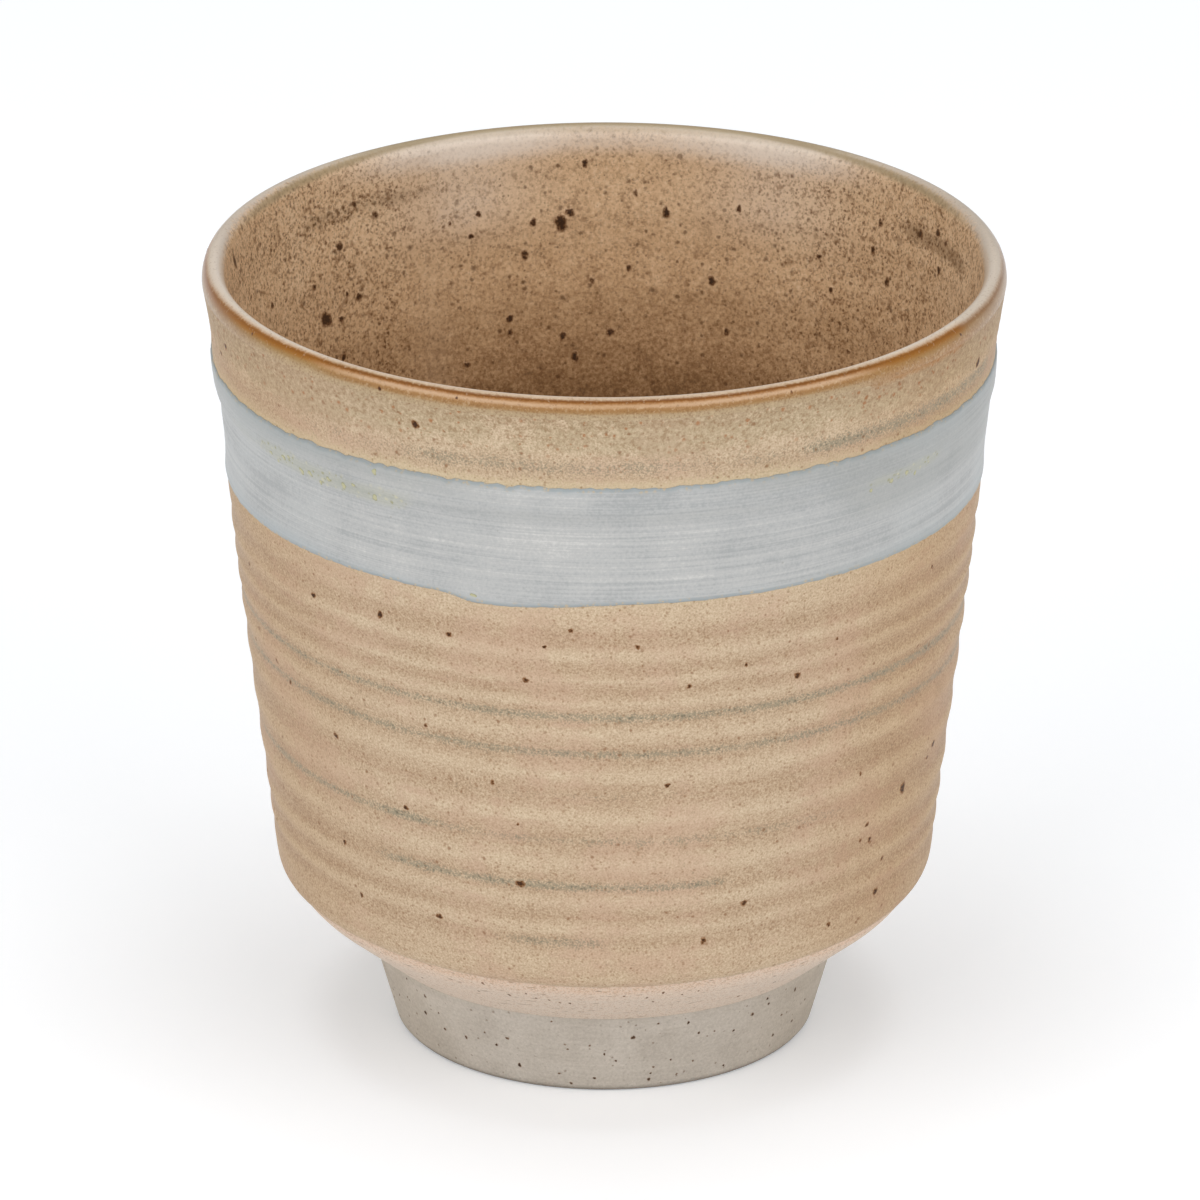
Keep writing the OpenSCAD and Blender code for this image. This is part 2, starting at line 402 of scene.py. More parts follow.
def disc_specks(name, specks, surface, fields, material, body_slot, seed, darkness):
    """Iron specks as low domes on a surface: each has an angle in degrees, and height and width in mm.

    A speck that is drawn out also has its length over its width, and its lean in degrees.
    """
    rng = np.random.default_rng(seed)
    sides = SPECK_SIDES
    around = np.arange(sides) * 2 * math.pi / sides
    circle = np.stack([np.cos(around), np.sin(around)], -1)
    places, faces, corners, marks, heights, turns = [], [], [], [], [], []
    cells = math.ceil(math.sqrt(len(specks)))
    for number, (angle, height, width, *drawn) in enumerate(specks):
        waves = rng.uniform(0, 6, 3)
        shape = 1 + sum(0.3 / k * np.sin(k * around + start) for k, start in zip((2, 3, 5), waves))
        size = 0.56 * width * MM
        lean = rng.uniform(0.85, 1.3)
        strength = min(1.0, rng.uniform(*darkness) + 0.42 * width)
        right = size * np.concatenate([[0], np.outer(SPECK_SIZES, shape * np.cos(around)).ravel(), [0]])
        up = np.concatenate([[0], np.outer(SPECK_SIZES, shape * np.sin(around)).ravel(), [0]])
        up = size * lean * up
        flat = np.stack([right, up], -1) / size
        if drawn:
            stretch, tilt = drawn[0], drawn[1] * DEGREE
            up = up * stretch
            cos, sin = math.cos(tilt), math.sin(tilt)
            right, up = right * cos + up * sin, up * cos - right * sin
        lift = np.concatenate([[SPECK_TOP], np.repeat(SPECK_LIFTS, sides), [SPECK_BACK]])
        z = height * MM + up
        middle_r = surface(height * MM, angle * DEGREE, 0)
        turn = angle * DEGREE + right / middle_r
        start = number * len(z)
        last = start + len(z) - 1
        places.append(points(surface(z, turn, lift), turn, z))
        marks.append(strength * np.concatenate([[1.0], np.repeat(SPECK_MARKS, sides), [0.0]]))
        heights.append(z)
        turns.append(turn)
        rings = start + 1 + np.arange(len(SPECK_SIZES) * sides).reshape(-1, sides)
        beside = np.roll(rings, -1, 1)
        top = [[start, a, b] for a, b in zip(rings[0], beside[0])]
        for k in range(len(SPECK_SIZES) - 1):
            top += np.stack([rings[k], rings[k + 1], beside[k + 1], beside[k]], -1).tolist()
        under = [[last, b, a] for a, b in zip(rings[-1], beside[-1])]
        # Inside the cup, where lift goes towards the axis, the faces run the other way round
        inward = surface(height * MM, angle * DEGREE, MM) < middle_r
        order = slice(None, None, -1) if inward else slice(None)
        faces += [[int(v) for v in face[order]] for face in top + under]
        cell = np.array([number % cells, number // cells])
        flat = (cell + DOME_SPOT + DOME_SIZE * flat) / cells
        corners += [flat[v - start] for face in top for v in face[order]]
        hub = (cell + BACK_SPOT) / cells
        rim = hub + BACK_SIZE / cells * circle
        for s in range(sides):
            corners += [hub, rim[(s + 1) % sides], rim[s]][order]
    z, turn = np.concatenate(heights), np.concatenate(turns)
    values = {"speck": np.concatenate(marks), **fields(z, turn)}
    new_piece(name, np.concatenate(places), faces, np.array(corners), values, material, body_slot)


# Materials


def srgb(red, green, blue):
    """Colour as a picture shows it, 0 to 255, in the light values that a shader takes."""
    parts = (np.array([red, green, blue]) / 255).tolist()
    return tuple(c / 12.92 if c <= 0.04045 else ((c + 0.055) / 1.055) ** 2.4 for c in parts) + (1.0,)


class Paint:
    """Node graph of one material, put together from small steps."""

    def __init__(self, name, roughness, specular, coat=0.0, coat_roughness=0.1):
        self.material = bpy.data.materials.new(name)
        self.material.use_nodes = True
        self.tree = self.material.node_tree
        self.shader = self.tree.nodes["Principled BSDF"]
        self.shader.inputs["Roughness"].default_value = roughness
        self.shader.inputs["Specular IOR Level"].default_value = specular
        self.shader.inputs["Coat Weight"].default_value = coat
        self.shader.inputs["Coat Roughness"].default_value = coat_roughness
        self.place = self.tree.nodes.new("ShaderNodeTexCoord").outputs["Object"]
        self.colour = None

    def put(self, socket, value):
        """Links another node's socket, or sets a plain value."""
        if isinstance(value, bpy.types.NodeSocket):
            self.tree.links.new(value, socket)
        else:
            socket.default_value = value

    def node(self, kind, inputs, **settings):
        """New node of a kind; inputs maps sockets, by name or number, to values or other nodes' sockets."""
        node = self.tree.nodes.new("ShaderNode" + kind)
        for name, value in settings.items():
            setattr(node, name, value)
        for socket, value in inputs.items():
            self.put(node.inputs[socket], value)
        return node

    def field(self, name):
        """Value that the mesh carries under this name."""
        return self.node("Attribute", {}, attribute_name=name).outputs["Fac"]

    def math(self, operation, a, b):
        return self.node("Math", {0: a, 1: b}, operation=operation).outputs[0]

    def times(self, a, b):
        return self.math("MULTIPLY", a, b)

    def total(self, *terms):
        """Sum of sockets and numbers, each given alone or as (socket, weight)."""
        result = 0.0
        for term in terms:
            if isinstance(term, tuple):
                term = self.times(*term)
            result = term if result == 0.0 else self.math("ADD", result, term)
        return result

    def step(self, value, low, high):
        """0 below low, 1 above high, smooth between them. low may be above high, to turn it round."""
        ends = (high, low, 1.0, 0.0) if low > high else (low, high, 0.0, 1.0)
        inputs = dict(zip(("From Min", "From Max", "To Min", "To Max"), ends), Value=value)
        return self.node("MapRange", inputs, interpolation_type="SMOOTHSTEP").outputs["Result"]

    def noise(self, scale, detail, roughness=0.5):
        """Cloud noise; scale is in lumps per metre, one number or one for each axis."""
        place = self.place
        if isinstance(scale, tuple):
            place = self.node("VectorMath", {0: place, 1: scale}, operation="MULTIPLY").outputs[0]
            scale = 1.0
        inputs = {"Vector": place, "Scale": scale, "Detail": detail, "Roughness": roughness}
        return self.node("TexNoise", inputs).outputs["Fac"]

    def flecks(self, scale, share, small, large, ragged=0.25):
        """Scattered flecks: share of the cells that have one, its size range in cells, and raggedness."""
        cells = self.node("TexVoronoi", {"Vector": self.place, "Scale": scale})
        parts = self.node("SeparateColor", {0: cells.outputs["Color"]})
        size = self.total((parts.outputs[1], large - small), small)
        inside = self.math("DIVIDE", cells.outputs["Distance"], size)
        inside = self.total(inside, (self.noise(4 * scale, 1), 4 * ragged), -2 * ragged)
        chosen = self.math("LESS_THAN", parts.outputs[0], share)
        return self.times(self.step(inside, 1.1, 0.35), chosen)

    def ramp(self, factor, *stops):
        """Colour ramp from stops of a position and a colour's red, green and blue."""
        node = self.node("ValToRGB", {"Fac": factor})
        elements = node.color_ramp.elements
        while len(elements) < len(stops):
            elements.new(0.5)
        for element, (position, *colour) in zip(elements, stops):
            element.position = position
            element.color = srgb(*colour)
        return node.outputs["Color"]

    def mix(self, factor, a, b, blend="MIX"):
        return self.node("Mix", {0: factor, 6: a, 7: b}, data_type="RGBA", blend_type=blend).outputs[2]

    def lay(self, share, strength, top, blend="MIX"):
        """Lays another colour over a share of the surface."""
        if strength < 1:
            share = self.times(share, strength)
        self.colour = self.mix(share, self.colour, srgb(*top), blend)

    def specks(self, halo, core):
        """Lays the brown halo and the dark core of the bigger specks, both with a ragged edge."""
        mark = self.field("speck")
        ragged = self.times(mark, self.total((self.noise(4200, 1), 1.6), 0.2))
        self.lay(self.step(ragged, 0.0, 0.7), 1, halo)
        self.lay(self.step(ragged, 0.3, 0.95), 1, core)

    def finish(self, bump, depth, strength, roughness=None):
        """Joins colour, bump height and, where given, a roughness pattern to the shader."""
        self.put(self.shader.inputs["Base Color"], self.colour)
        node = self.node("Bump", {"Strength": strength, "Distance": depth, "Height": bump})
        self.put(self.shader.inputs["Normal"], node.outputs["Normal"])
        if roughness is not None:
            self.put(self.shader.inputs["Roughness"], roughness)
        return self.material


def tan_glaze():
    """Satin tan glaze: cream where it thins on the rings, brown and grey-green where it pools, darker in
    the grooves and under the lip partly as painted shade, and painted shade towards the sides.
    """
    paint = Paint("tan_glaze", 0.5, 0.14)
    grain = paint.noise(3400, 2, 0.7)
    dots = paint.noise(5000, 1, 0.5)
    mottle = paint.noise(420, 3, 0.6)
    cloud = paint.noise(90, 2, 0.5)
    streak = paint.noise((60, 60, 1000), 2, 0.6)
    press = paint.field("press")
    # More press renders darker: partly glaze pooled in the grooves and partly painted shade there, with
    # painted shade under the lip and painted light above the band
    tone = paint.total((press, 0.25), (streak, 0.3), (mottle, 0.28), (grain, 0.8), (dots, 1.0), -0.79)
    paint.colour = paint.ramp(
        tone,
        (0.1, 219, 199, 171), (0.35, 207, 185, 156), (0.55, 195, 170, 142), (0.75, 181, 154, 125),
        (0.95, 160, 130, 101),
    )
    blush = paint.step(paint.total(cloud, (mottle, 0.5), (streak, 0.4)), 0.9, 1.15)
    paint.lay(blush, 0.4, (203, 170, 147))
    olive = paint.total(paint.field("lipward"), (cloud, 1.6), (mottle, 1.4), (dots, 0.8))
    paint.lay(paint.step(olive, 2.2, 2.8), 0.4, (164, 148, 114))
    coarse = paint.noise(1900, 2, 0.7)
    near_lip = paint.field("lipward")
    pale_grains = paint.times(paint.step(coarse, 0.53, 0.66), near_lip)
    paint.lay(pale_grains, 0.38, (222, 202, 172))
    dark_grains = paint.times(paint.step(coarse, 0.47, 0.34), near_lip)
    paint.lay(dark_grains, 0.5, (148, 116, 80))
    ginger = paint.times(paint.flecks(1400, 0.4, 0.15, 0.45), near_lip)
    paint.lay(ginger, 0.75, (166, 108, 64))
    rust = paint.times(paint.flecks(900, 0.3, 0.12, 0.3), near_lip)
    paint.lay(rust, 0.65, (138, 88, 50))
    stain = paint.step(paint.total(paint.field("stain"), (mottle, 0.8), (dots, 0.5)), 0.85, 1.35)
    paint.lay(stain, 0.55, (180, 126, 68))
    border = paint.step(paint.total(paint.field("border"), (grain, 1.4), (mottle, 1.0)), 1.45, 2.0)
    paint.lay(border, 0.5, (216, 199, 163))
    # Painted shade: darker and warmer towards the sides, where the front light's sheen falls off
    paint.lay(paint.field("glaze_side_shade"), 0.75, (230, 210, 182), "MULTIPLY")
    pool = paint.total(paint.field("pool"), (mottle, 0.5))
    tint = paint.step(paint.total(pool, (dots, 1.5)), 1.2, 1.8)
    paint.lay(tint, 0.85, (152, 144, 122))
    grit = paint.times(paint.flecks(2600, 0.9, 0.2, 0.6, 0.15), paint.step(pool, 0.4, 1.0))
    paint.lay(grit, 0.75, (106, 98, 80))
    paint.lay(paint.flecks(2100, 0.5, 0.14, 0.45, 0.15), 0.5, (146, 106, 70))
    paint.lay(paint.flecks(800, 0.3, 0.1, 0.24), 0.65, (132, 88, 52))
    paint.specks((146, 98, 56), (66, 41, 22))
    bump = paint.total((grain, 0.5), (dots, 0.3), (streak, 0.4))
    rough = paint.total((grain, 0.2), (press, -0.06), 0.42)
    return paint.finish(bump, 0.05 * MM, 0.4, rough)


def blue_slip():
    """Pale blue-grey slip, streaked by the brush, bluer at its edges, with tan grains showing through, and
    painted shade towards the flanks and on the right.
    """
    paint = Paint("blue_slip", 0.45, 0.28)
    streak = paint.noise((24, 24, 2400), 2, 0.6)
    hairs = paint.noise((40, 40, 5200), 2, 0.6)
    broad = paint.noise((18, 18, 420), 2, 0.5)
    grain = paint.noise(3300, 2, 0.6)
    cloud = paint.noise(140, 3, 0.6)
    tone = paint.total((streak, 0.55), (hairs, 0.8), (broad, 0.25), (grain, 0.7), (cloud, 0.8), -1.13)
    paint.colour = paint.ramp(
        tone,
        (0.15, 169, 171, 171), (0.4, 185, 186, 185), (0.6, 193, 193, 191), (0.85, 210, 209, 206),
    )
    blue = paint.step(paint.total(paint.field("blue"), (cloud, 0.8), (streak, 0.3)), 0.75, 1.4)
    paint.lay(blue, 0.6, (172, 180, 183))
    edge = paint.step(paint.total(paint.field("edge"), (grain, 0.9), (cloud, 0.4)), 0.9, 1.6)
    paint.lay(edge, 0.65, (146, 156, 160))
    edge_grains = paint.times(paint.flecks(2200, 0.8, 0.2, 0.6), paint.step(paint.field("edge"), 0.1, 0.8))
    paint.lay(edge_grains, 0.75, (198, 178, 144))
    # The shade field is partly painted shade: darker towards the flanks by the upper edge and on the right,
    # with a darker streak below the upper edge
    shade = paint.step(paint.total(paint.field("shade"), (cloud, 0.5), (streak, 0.4)), 0.45, 1.3)
    paint.lay(shade, 0.38, (152, 154, 150))
    veil = paint.step(paint.total(paint.field("thin"), (cloud, 0.8)), 0.6, 1.4)
    paint.lay(veil, 0.35, (180, 180, 156))
    thin = paint.step(paint.field("thin"), 0.2, 0.8)
    dark_grains = paint.times(paint.flecks(1700, 0.6, 0.2, 0.5), thin)
    paint.lay(dark_grains, 0.85, (158, 155, 118))
    pale_grains = paint.times(paint.flecks(1300, 0.5, 0.2, 0.45), thin)
    paint.lay(pale_grains, 0.7, (203, 199, 170))
    grain_edge = paint.step(paint.field("speck"), 0.0, 0.4)
    paint.lay(grain_edge, 0.8, (150, 147, 108))
    grain_top = paint.step(paint.field("speck"), 0.35, 0.8)
    paint.lay(grain_top, 0.85, (194, 190, 152))
    paint.lay(paint.flecks(1100, 0.12, 0.08, 0.2), 0.3, (126, 120, 108))
    bump = paint.total((streak, 0.7), (hairs, 0.3), (grain, 0.2))
    return paint.finish(bump, 0.04 * MM, 0.4)


def inside_glaze(paint):
    """Brown glaze of the inside, paler towards the rim from a painted reflection, darker deeper down partly
    as painted shade, with sandy pepper that gathers under the lip.
    """
    gather, painted_sheen, low, side = (paint.field(name) for name in ("gather", "painted_sheen", "low", "side"))
    grain = paint.noise(2500, 2, 0.65)
    mottle = paint.noise(300, 3, 0.6)
    # Low darkens the inside deeper down: partly glaze that pools there, partly painted shade
    tone = paint.total((mottle, 0.35), (grain, 0.8), (low, 0.8), (side, -0.1), -0.415)
    paint.colour = paint.ramp(
        tone,
        (0.0, 229, 197, 160), (0.12, 221, 186, 147), (0.3, 207, 170, 130), (0.46, 190, 152, 112),
        (0.66, 158, 120, 82), (0.82, 124, 90, 56), (1.0, 94, 64, 37),
    )
    # Painted sheen: pale where the softboxes would reflect in the glaze below the rim, with fewer specks
    # under it
    pale = paint.step(paint.total(painted_sheen, (grain, 0.3), (mottle, 0.2)), 0.25, 1.2)
    paint.lay(pale, 0.95, (243, 228, 212))
    thick = paint.step(paint.total(mottle, (gather, 0.5)), 0.4, 0.7)
    dense = paint.times(paint.total((thick, 0.25), 0.7), paint.total((pale, -0.75), 1.0))
    dense = paint.times(dense, paint.total((side, 0.5), 0.75))
    sand = paint.times(paint.step(paint.noise(2700, 2, 0.65), 0.48, 0.66), dense)
    paint.lay(sand, 0.62, (122, 84, 48))
    coarse = paint.times(paint.step(paint.noise(1100, 2, 0.7), 0.52, 0.7), dense)
    paint.lay(coarse, 0.62, (120, 82, 48))
    small = paint.times(paint.flecks(2000, 0.6, 0.15, 0.5, 0.4), dense)
    paint.lay(small, 0.75, (98, 62, 30))
    shadow = paint.step(paint.total(gather, (mottle, 0.8)), 0.75, 1.6)
    paint.lay(shadow, 0.45, (116, 86, 56))
    gathered = paint.times(paint.flecks(1500, 0.95, 0.25, 0.6, 0.3), paint.step(gather, 0.15, 0.9))
    paint.lay(gathered, 0.75, (92, 62, 32))
    bare = paint.total((pale, -0.85), 1.0)
    medium = paint.times(paint.flecks(1150, 0.3, 0.12, 0.4, 0.25), bare)
    paint.lay(medium, 0.7, (90, 55, 25))
    large = paint.times(paint.flecks(620, 0.32, 0.09, 0.25), bare)
    paint.lay(large, 0.65, (80, 47, 20))


def iron_glaze():
    """Glossy glaze over the lip: iron brown outside with a painted highlight across the front, pale on top
    partly as painted reflection, with painted shade on top at the sides, olive behind, then as the inside.
    """
    paint = Paint("iron_glaze", 0.3, 0.25, 0.2, 0.12)
    grain = paint.noise(2600, 2, 0.65)
    dots = paint.noise(4200, 1, 0.5)
    drift = paint.noise(150, 3, 0.6)
    way = paint.total(paint.field("over"), (drift, 0.06), (grain, 0.08), -0.07)
    # Painted highlight: the peach band from 0.23 to 0.3 over the front of the lip; this ramp and the two
    # below are pale over the top, partly painted reflection
    highlit_iron = paint.ramp(
        way,
        (0.02, 180, 157, 124), (0.09, 175, 150, 115), (0.125, 164, 128, 84), (0.16, 158, 118, 72),
        (0.195, 164, 122, 76), (0.23, 186, 148, 108), (0.265, 192, 154, 116), (0.295, 180, 138, 96),
        (0.325, 152, 104, 54), (0.355, 122, 72, 20), (0.385, 126, 78, 28), (0.41, 150, 112, 72),
        (0.44, 182, 154, 124), (0.48, 198, 174, 148), (0.57, 208, 189, 168),
    )
    # The matt ramp is the lip's colour at the sides, without the painted highlight
    matt = paint.ramp(
        way,
        (0.02, 182, 156, 122), (0.12, 174, 147, 108), (0.2, 162, 128, 80), (0.25, 158, 112, 54),
        (0.3, 150, 95, 26), (0.36, 134, 80, 14), (0.395, 156, 108, 56), (0.43, 182, 150, 120),
        (0.48, 204, 182, 158), (0.54, 209, 194, 176), (0.7, 214, 200, 184),
    )
    plain = paint.ramp(
        way,
        (0.01, 178, 152, 118), (0.16, 172, 146, 108), (0.22, 164, 134, 96), (0.28, 146, 108, 66),
        (0.32, 142, 104, 66), (0.36, 164, 134, 106), (0.41, 188, 166, 144), (0.46, 200, 186, 169),
        (0.7, 206, 192, 175),
    )
    # Painted highlight ramp across the front, the matt one at the sides
    iron = paint.mix(paint.field("painted_highlight"), matt, highlit_iron)
    red = paint.step(paint.total(paint.field("iron"), (drift, 0.6), (grain, 0.2)), 0.65, 1.15)
    paint.colour = paint.mix(red, plain, iron)
    paint.lay(paint.field("rust"), 1, (146, 100, 54))
    # Painted shade: the top of the lip a little darker at the sides, against the coat's bright reflection
    # there
    paint.lay(paint.field("lip_top_shade"), 1, (234, 232, 231), "MULTIPLY")
    stain = paint.field("stain")
    stain = paint.times(stain, paint.step(paint.total(way, (drift, 0.2)), 0.4, 0.2))
    paint.lay(stain, 0.55, (166, 112, 54))
    outer = paint.step(way, 0.3, 0.1)
    pale = paint.step(paint.total(grain, (outer, 0.1)), 0.58, 0.76)
    paint.lay(pale, 0.3, (214, 192, 158))
    brown = paint.step(paint.total(dots, (outer, 0.1)), 0.6, 0.76)
    paint.lay(brown, 0.4, (126, 86, 48))
    inner = paint.step(paint.total(way, (grain, 0.3), (paint.field("pale_end"), -1.0)), 0.82, 1.1)
    lip_colour = paint.colour
    inside_glaze(paint)
    paint.colour = paint.mix(inner, lip_colour, paint.colour)
    olive = paint.step(paint.total(paint.field("olive"), (grain, 0.4)), 0.25, 1.25)
    paint.lay(olive, 0.85, (150, 131, 96))
    paint.specks((128, 84, 46), (70, 42, 22))
    return paint.finish(grain, 0.03 * MM, 0.25)


def liner_glaze():
    """Glossy brown glaze inside, with a pale run and iron specks."""
    paint = Paint("liner_glaze", 0.42, 0.3, 0.15, 0.3)
    grain = paint.noise(2500, 2, 0.65)
    mottle = paint.noise(300, 3, 0.6)
    inside_glaze(paint)
    paint.lay(paint.field("run"), 0.22, (206, 172, 136))
    paint.specks((114, 76, 44), (60, 37, 19))
    bump = paint.total((grain, 0.4), (mottle, 0.5))
    return paint.finish(bump, 0.05 * MM, 0.3)


def bare_clay():
    """Bare stoneware above the foot: pale peach, orange by the glaze line, with turning lines."""
    paint = Paint("bare_clay", 0.65, 0.35)
    grain = paint.noise(3300, 2, 0.7)
    lines = paint.noise((50, 50, 2600), 2, 0.6)
    dashes = paint.noise((700, 700, 3600), 1, 0.5)
    drift = paint.noise(70, 2, 0.5)
    tone = paint.total(paint.field("flash"), (drift, 0.3), (lines, 0.5), (grain, 1.5), -1.15)
    paint.colour = paint.ramp(
        tone,
        (0.0, 214, 200, 185), (0.35, 224, 207, 190), (0.7, 227, 204, 184), (1.0, 224, 190, 160),
    )
    paint.lay(paint.step(grain, 0.52, 0.66), 0.6, (184, 158, 134))
    paint.lay(paint.step(paint.noise(6000, 1, 0.5), 0.54, 0.68), 0.5, (172, 146, 122))
    paint.lay(paint.step(dashes, 0.67, 0.74), 0.6, (136, 104, 76))
    paint.specks((158, 116, 80), (74, 50, 34))
    bump = paint.total((lines, 0.8), (grain, 0.5))
    return paint.finish(bump, 0.05 * MM, 0.45)


def foot_clay():
    """Bare grey stoneware of the foot, matt and peppered, with a painted contact shadow where it meets the
    table.
    """
    paint = Paint("foot_clay", 0.75, 0.35)
    grain = paint.noise(3200, 2, 0.7)
    cloud = paint.noise(200, 3, 0.55)
    lines = paint.noise((30, 30, 1900), 2, 0.6)
    tone = paint.total((cloud, 0.7), (grain, 0.8), (lines, 0.3), -0.4)
    paint.colour = paint.ramp(
        tone,
        (0.2, 176, 166, 154), (0.5, 193, 184, 172), (0.8, 208, 199, 188),
    )
    paint.lay(paint.flecks(2200, 0.6, 0.15, 0.4), 0.3, (146, 134, 120))
    paint.lay(paint.flecks(1200, 0.25, 0.1, 0.26), 0.6, (112, 88, 66))
    # Painted shade: the foot darker towards its sides
    paint.lay(paint.field("foot_side_shade"), 1, (249, 246, 241), "MULTIPLY")
    # Painted contact shadow along the bottom of the foot
    paint.lay(paint.field("base"), 0.6, (112, 101, 88))
    paint.specks((132, 100, 72), (60, 42, 30))
    bump = paint.total((grain, 0.7), (lines, 0.5))
    return paint.finish(bump, 0.06 * MM, 0.5)


# Pieces


# Distance between rows of the tan glaze, and rows over the lip and back under its coat
ROW_STEP = 0.4 * MM
LIP_ROWS = 41
LIP_BACK_ROWS = 13


def rows_of(*runs):
    """Rows of one profile from several runs of values, as a column."""
    return np.concatenate([np.ravel(run) for run in runs])[:, None]


def across(values):
    """The same value all round."""
    return np.broadcast_to(values, (len(values), COLUMNS))


def spread(first, last, count):
    """Even rows from one value to another, each the same all round."""
    return across(np.linspace(first, last, count)[:, None])


def joined(*runs):
    """Radius and height of all rows of a piece, from (radius, height) runs."""
    return tuple(np.concatenate(parts) for parts in zip(*runs))


# Grey-green pools: groove number, first and last angle in degrees, strength
POOLS = (
    (6, -150, 150, 0.62),
    (5, -75, 88, 0.58),
    (3, -74, -36, 0.6),
    (3, -30, 38, 0.36),
    (2, -36, 16, 0.62),
    (0, -13, -5, 0.5),
    (4, -20, 12, 0.2),
    (4, 105, 160, 0.5),
    (7, -160, -110, 0.45),
    (2, -150, -95, 0.5),
    (3, 110, 165, 0.6),
)
POOL_WIDTH = 0.55 * MM
# Greyish smears in the hollow above the band: first and last angle in degrees, strength
SMEARS = ((-46, -28, 0.25), (-24, 4, 0.4), (8, 24, 0.3), (32, 72, 0.6), (95, 140, 0.4), (-150, -100, 0.4))


def tan_fields(z, turn):
    """What drives the tan glaze's colours: press into the rings, pools, nearness to lip and band, and
    painted shade towards the sides.
    """
    angle = turn / DEGREE
    phase = ring_phase(z, turn)
    groove = np.round(phase)
    spacing = np.interp(z, GROOVES, np.gradient(GROOVES))
    off_groove = (phase - groove) * spacing
    line = bell(off_groove, POOL_WIDTH)
    pool = sum(s * (groove == n) * window(turn, a, b) for n, a, b, s in POOLS) * line
    hollow = bell(z - BAND_HIGH - 2.2 * MM, 1.0 * MM)
    pool = pool + sum(s * window(turn, a, b, 6) for a, b, s in SMEARS) * hollow
    # Painted shade under the lip and painted light in the hollow above the band, carried in the press
    upper = 0.6 * smooth(z, LIP_H - 2.5 * MM, LIP_H)
    upper = upper - 0.75 * bell(z - BAND_HIGH - 3.8 * MM, 1.8 * MM)
    above = z - band_high_edge(turn)
    below = band_low_edge(turn) - z
    border = np.where(above > -MM, np.exp(-np.maximum(above, 0) / (0.9 * MM)), 0)
    border = border + 0.5 * np.where(below > -MM, np.exp(-np.maximum(below, 0) / (0.7 * MM)), 0)
    ringed = smooth(ring_depth(z) / GROOVE_DEPTH, 0, 0.3)
    # Painted shade towards the sides, more on the right, eased to half towards the back
    glaze_side_shade = 0.78 * smooth(angle, 25, 62) + 0.7 * smooth(-angle, 30, 75)
    glaze_side_shade = glaze_side_shade + (0.5 - glaze_side_shade) * smooth(np.abs(angle), 90, 160)
    return {
        "press": ring_press(z, turn) * ringed + 0.4 * (1 - ringed) + upper,
        "pool": pool,
        "lipward": smooth(z, LIP_H - 7 * MM, LIP_H - 1.5 * MM),
        "stain": 0.6 * window(turn, 46, 58, 12) * smooth(z, LIP_H - 1.2 * MM, LIP_H),
        "border": border,
        "glaze_side_shade": glaze_side_shade + 0 * z,
    }


def make_outer_glaze(material):
    edge = GLAZE_EDGE_H * (1 - np.cos(np.linspace(0, math.pi / 2, 7)))
    wall = np.arange(GLAZE_EDGE_H + ROW_STEP, LIP_H - GLAZE_LINE, ROW_STEP)
    rise = rows_of(edge, wall, [LIP_H - GLAZE_LINE])
    fade = 1 - smooth(rise, 0, 9 * MM)
    z = GLAZE_LINE + rise + glaze_line_lift(TURN) * fade
    thick = rounded(rise / GLAZE_EDGE_H)
    bead = 0.08 * MM * bell(rise - 1.2 * MM, 0.9 * MM)
    outer = clay_line(z) + thick * (glaze_surface(z, TURN) - clay_line(z) + bead) - TUCK * (rise == 0)
    back_z = spread(LIP_H, GLAZE_LINE + 1.5 * MM, 14)
    back = clay_line(back_z) - 0.3 * MM
    radius, height = joined((outer, z), (back, back_z))
    fields = tan_fields(height, TURN)
    charts = ((len(outer) - 1, (0, 0, 1, 0.95), 2), (len(radius), (0, 0.955, 1, 1), 1))
    lathe("outer_glaze", radius, height, charts, fields, material, "tan_glaze")


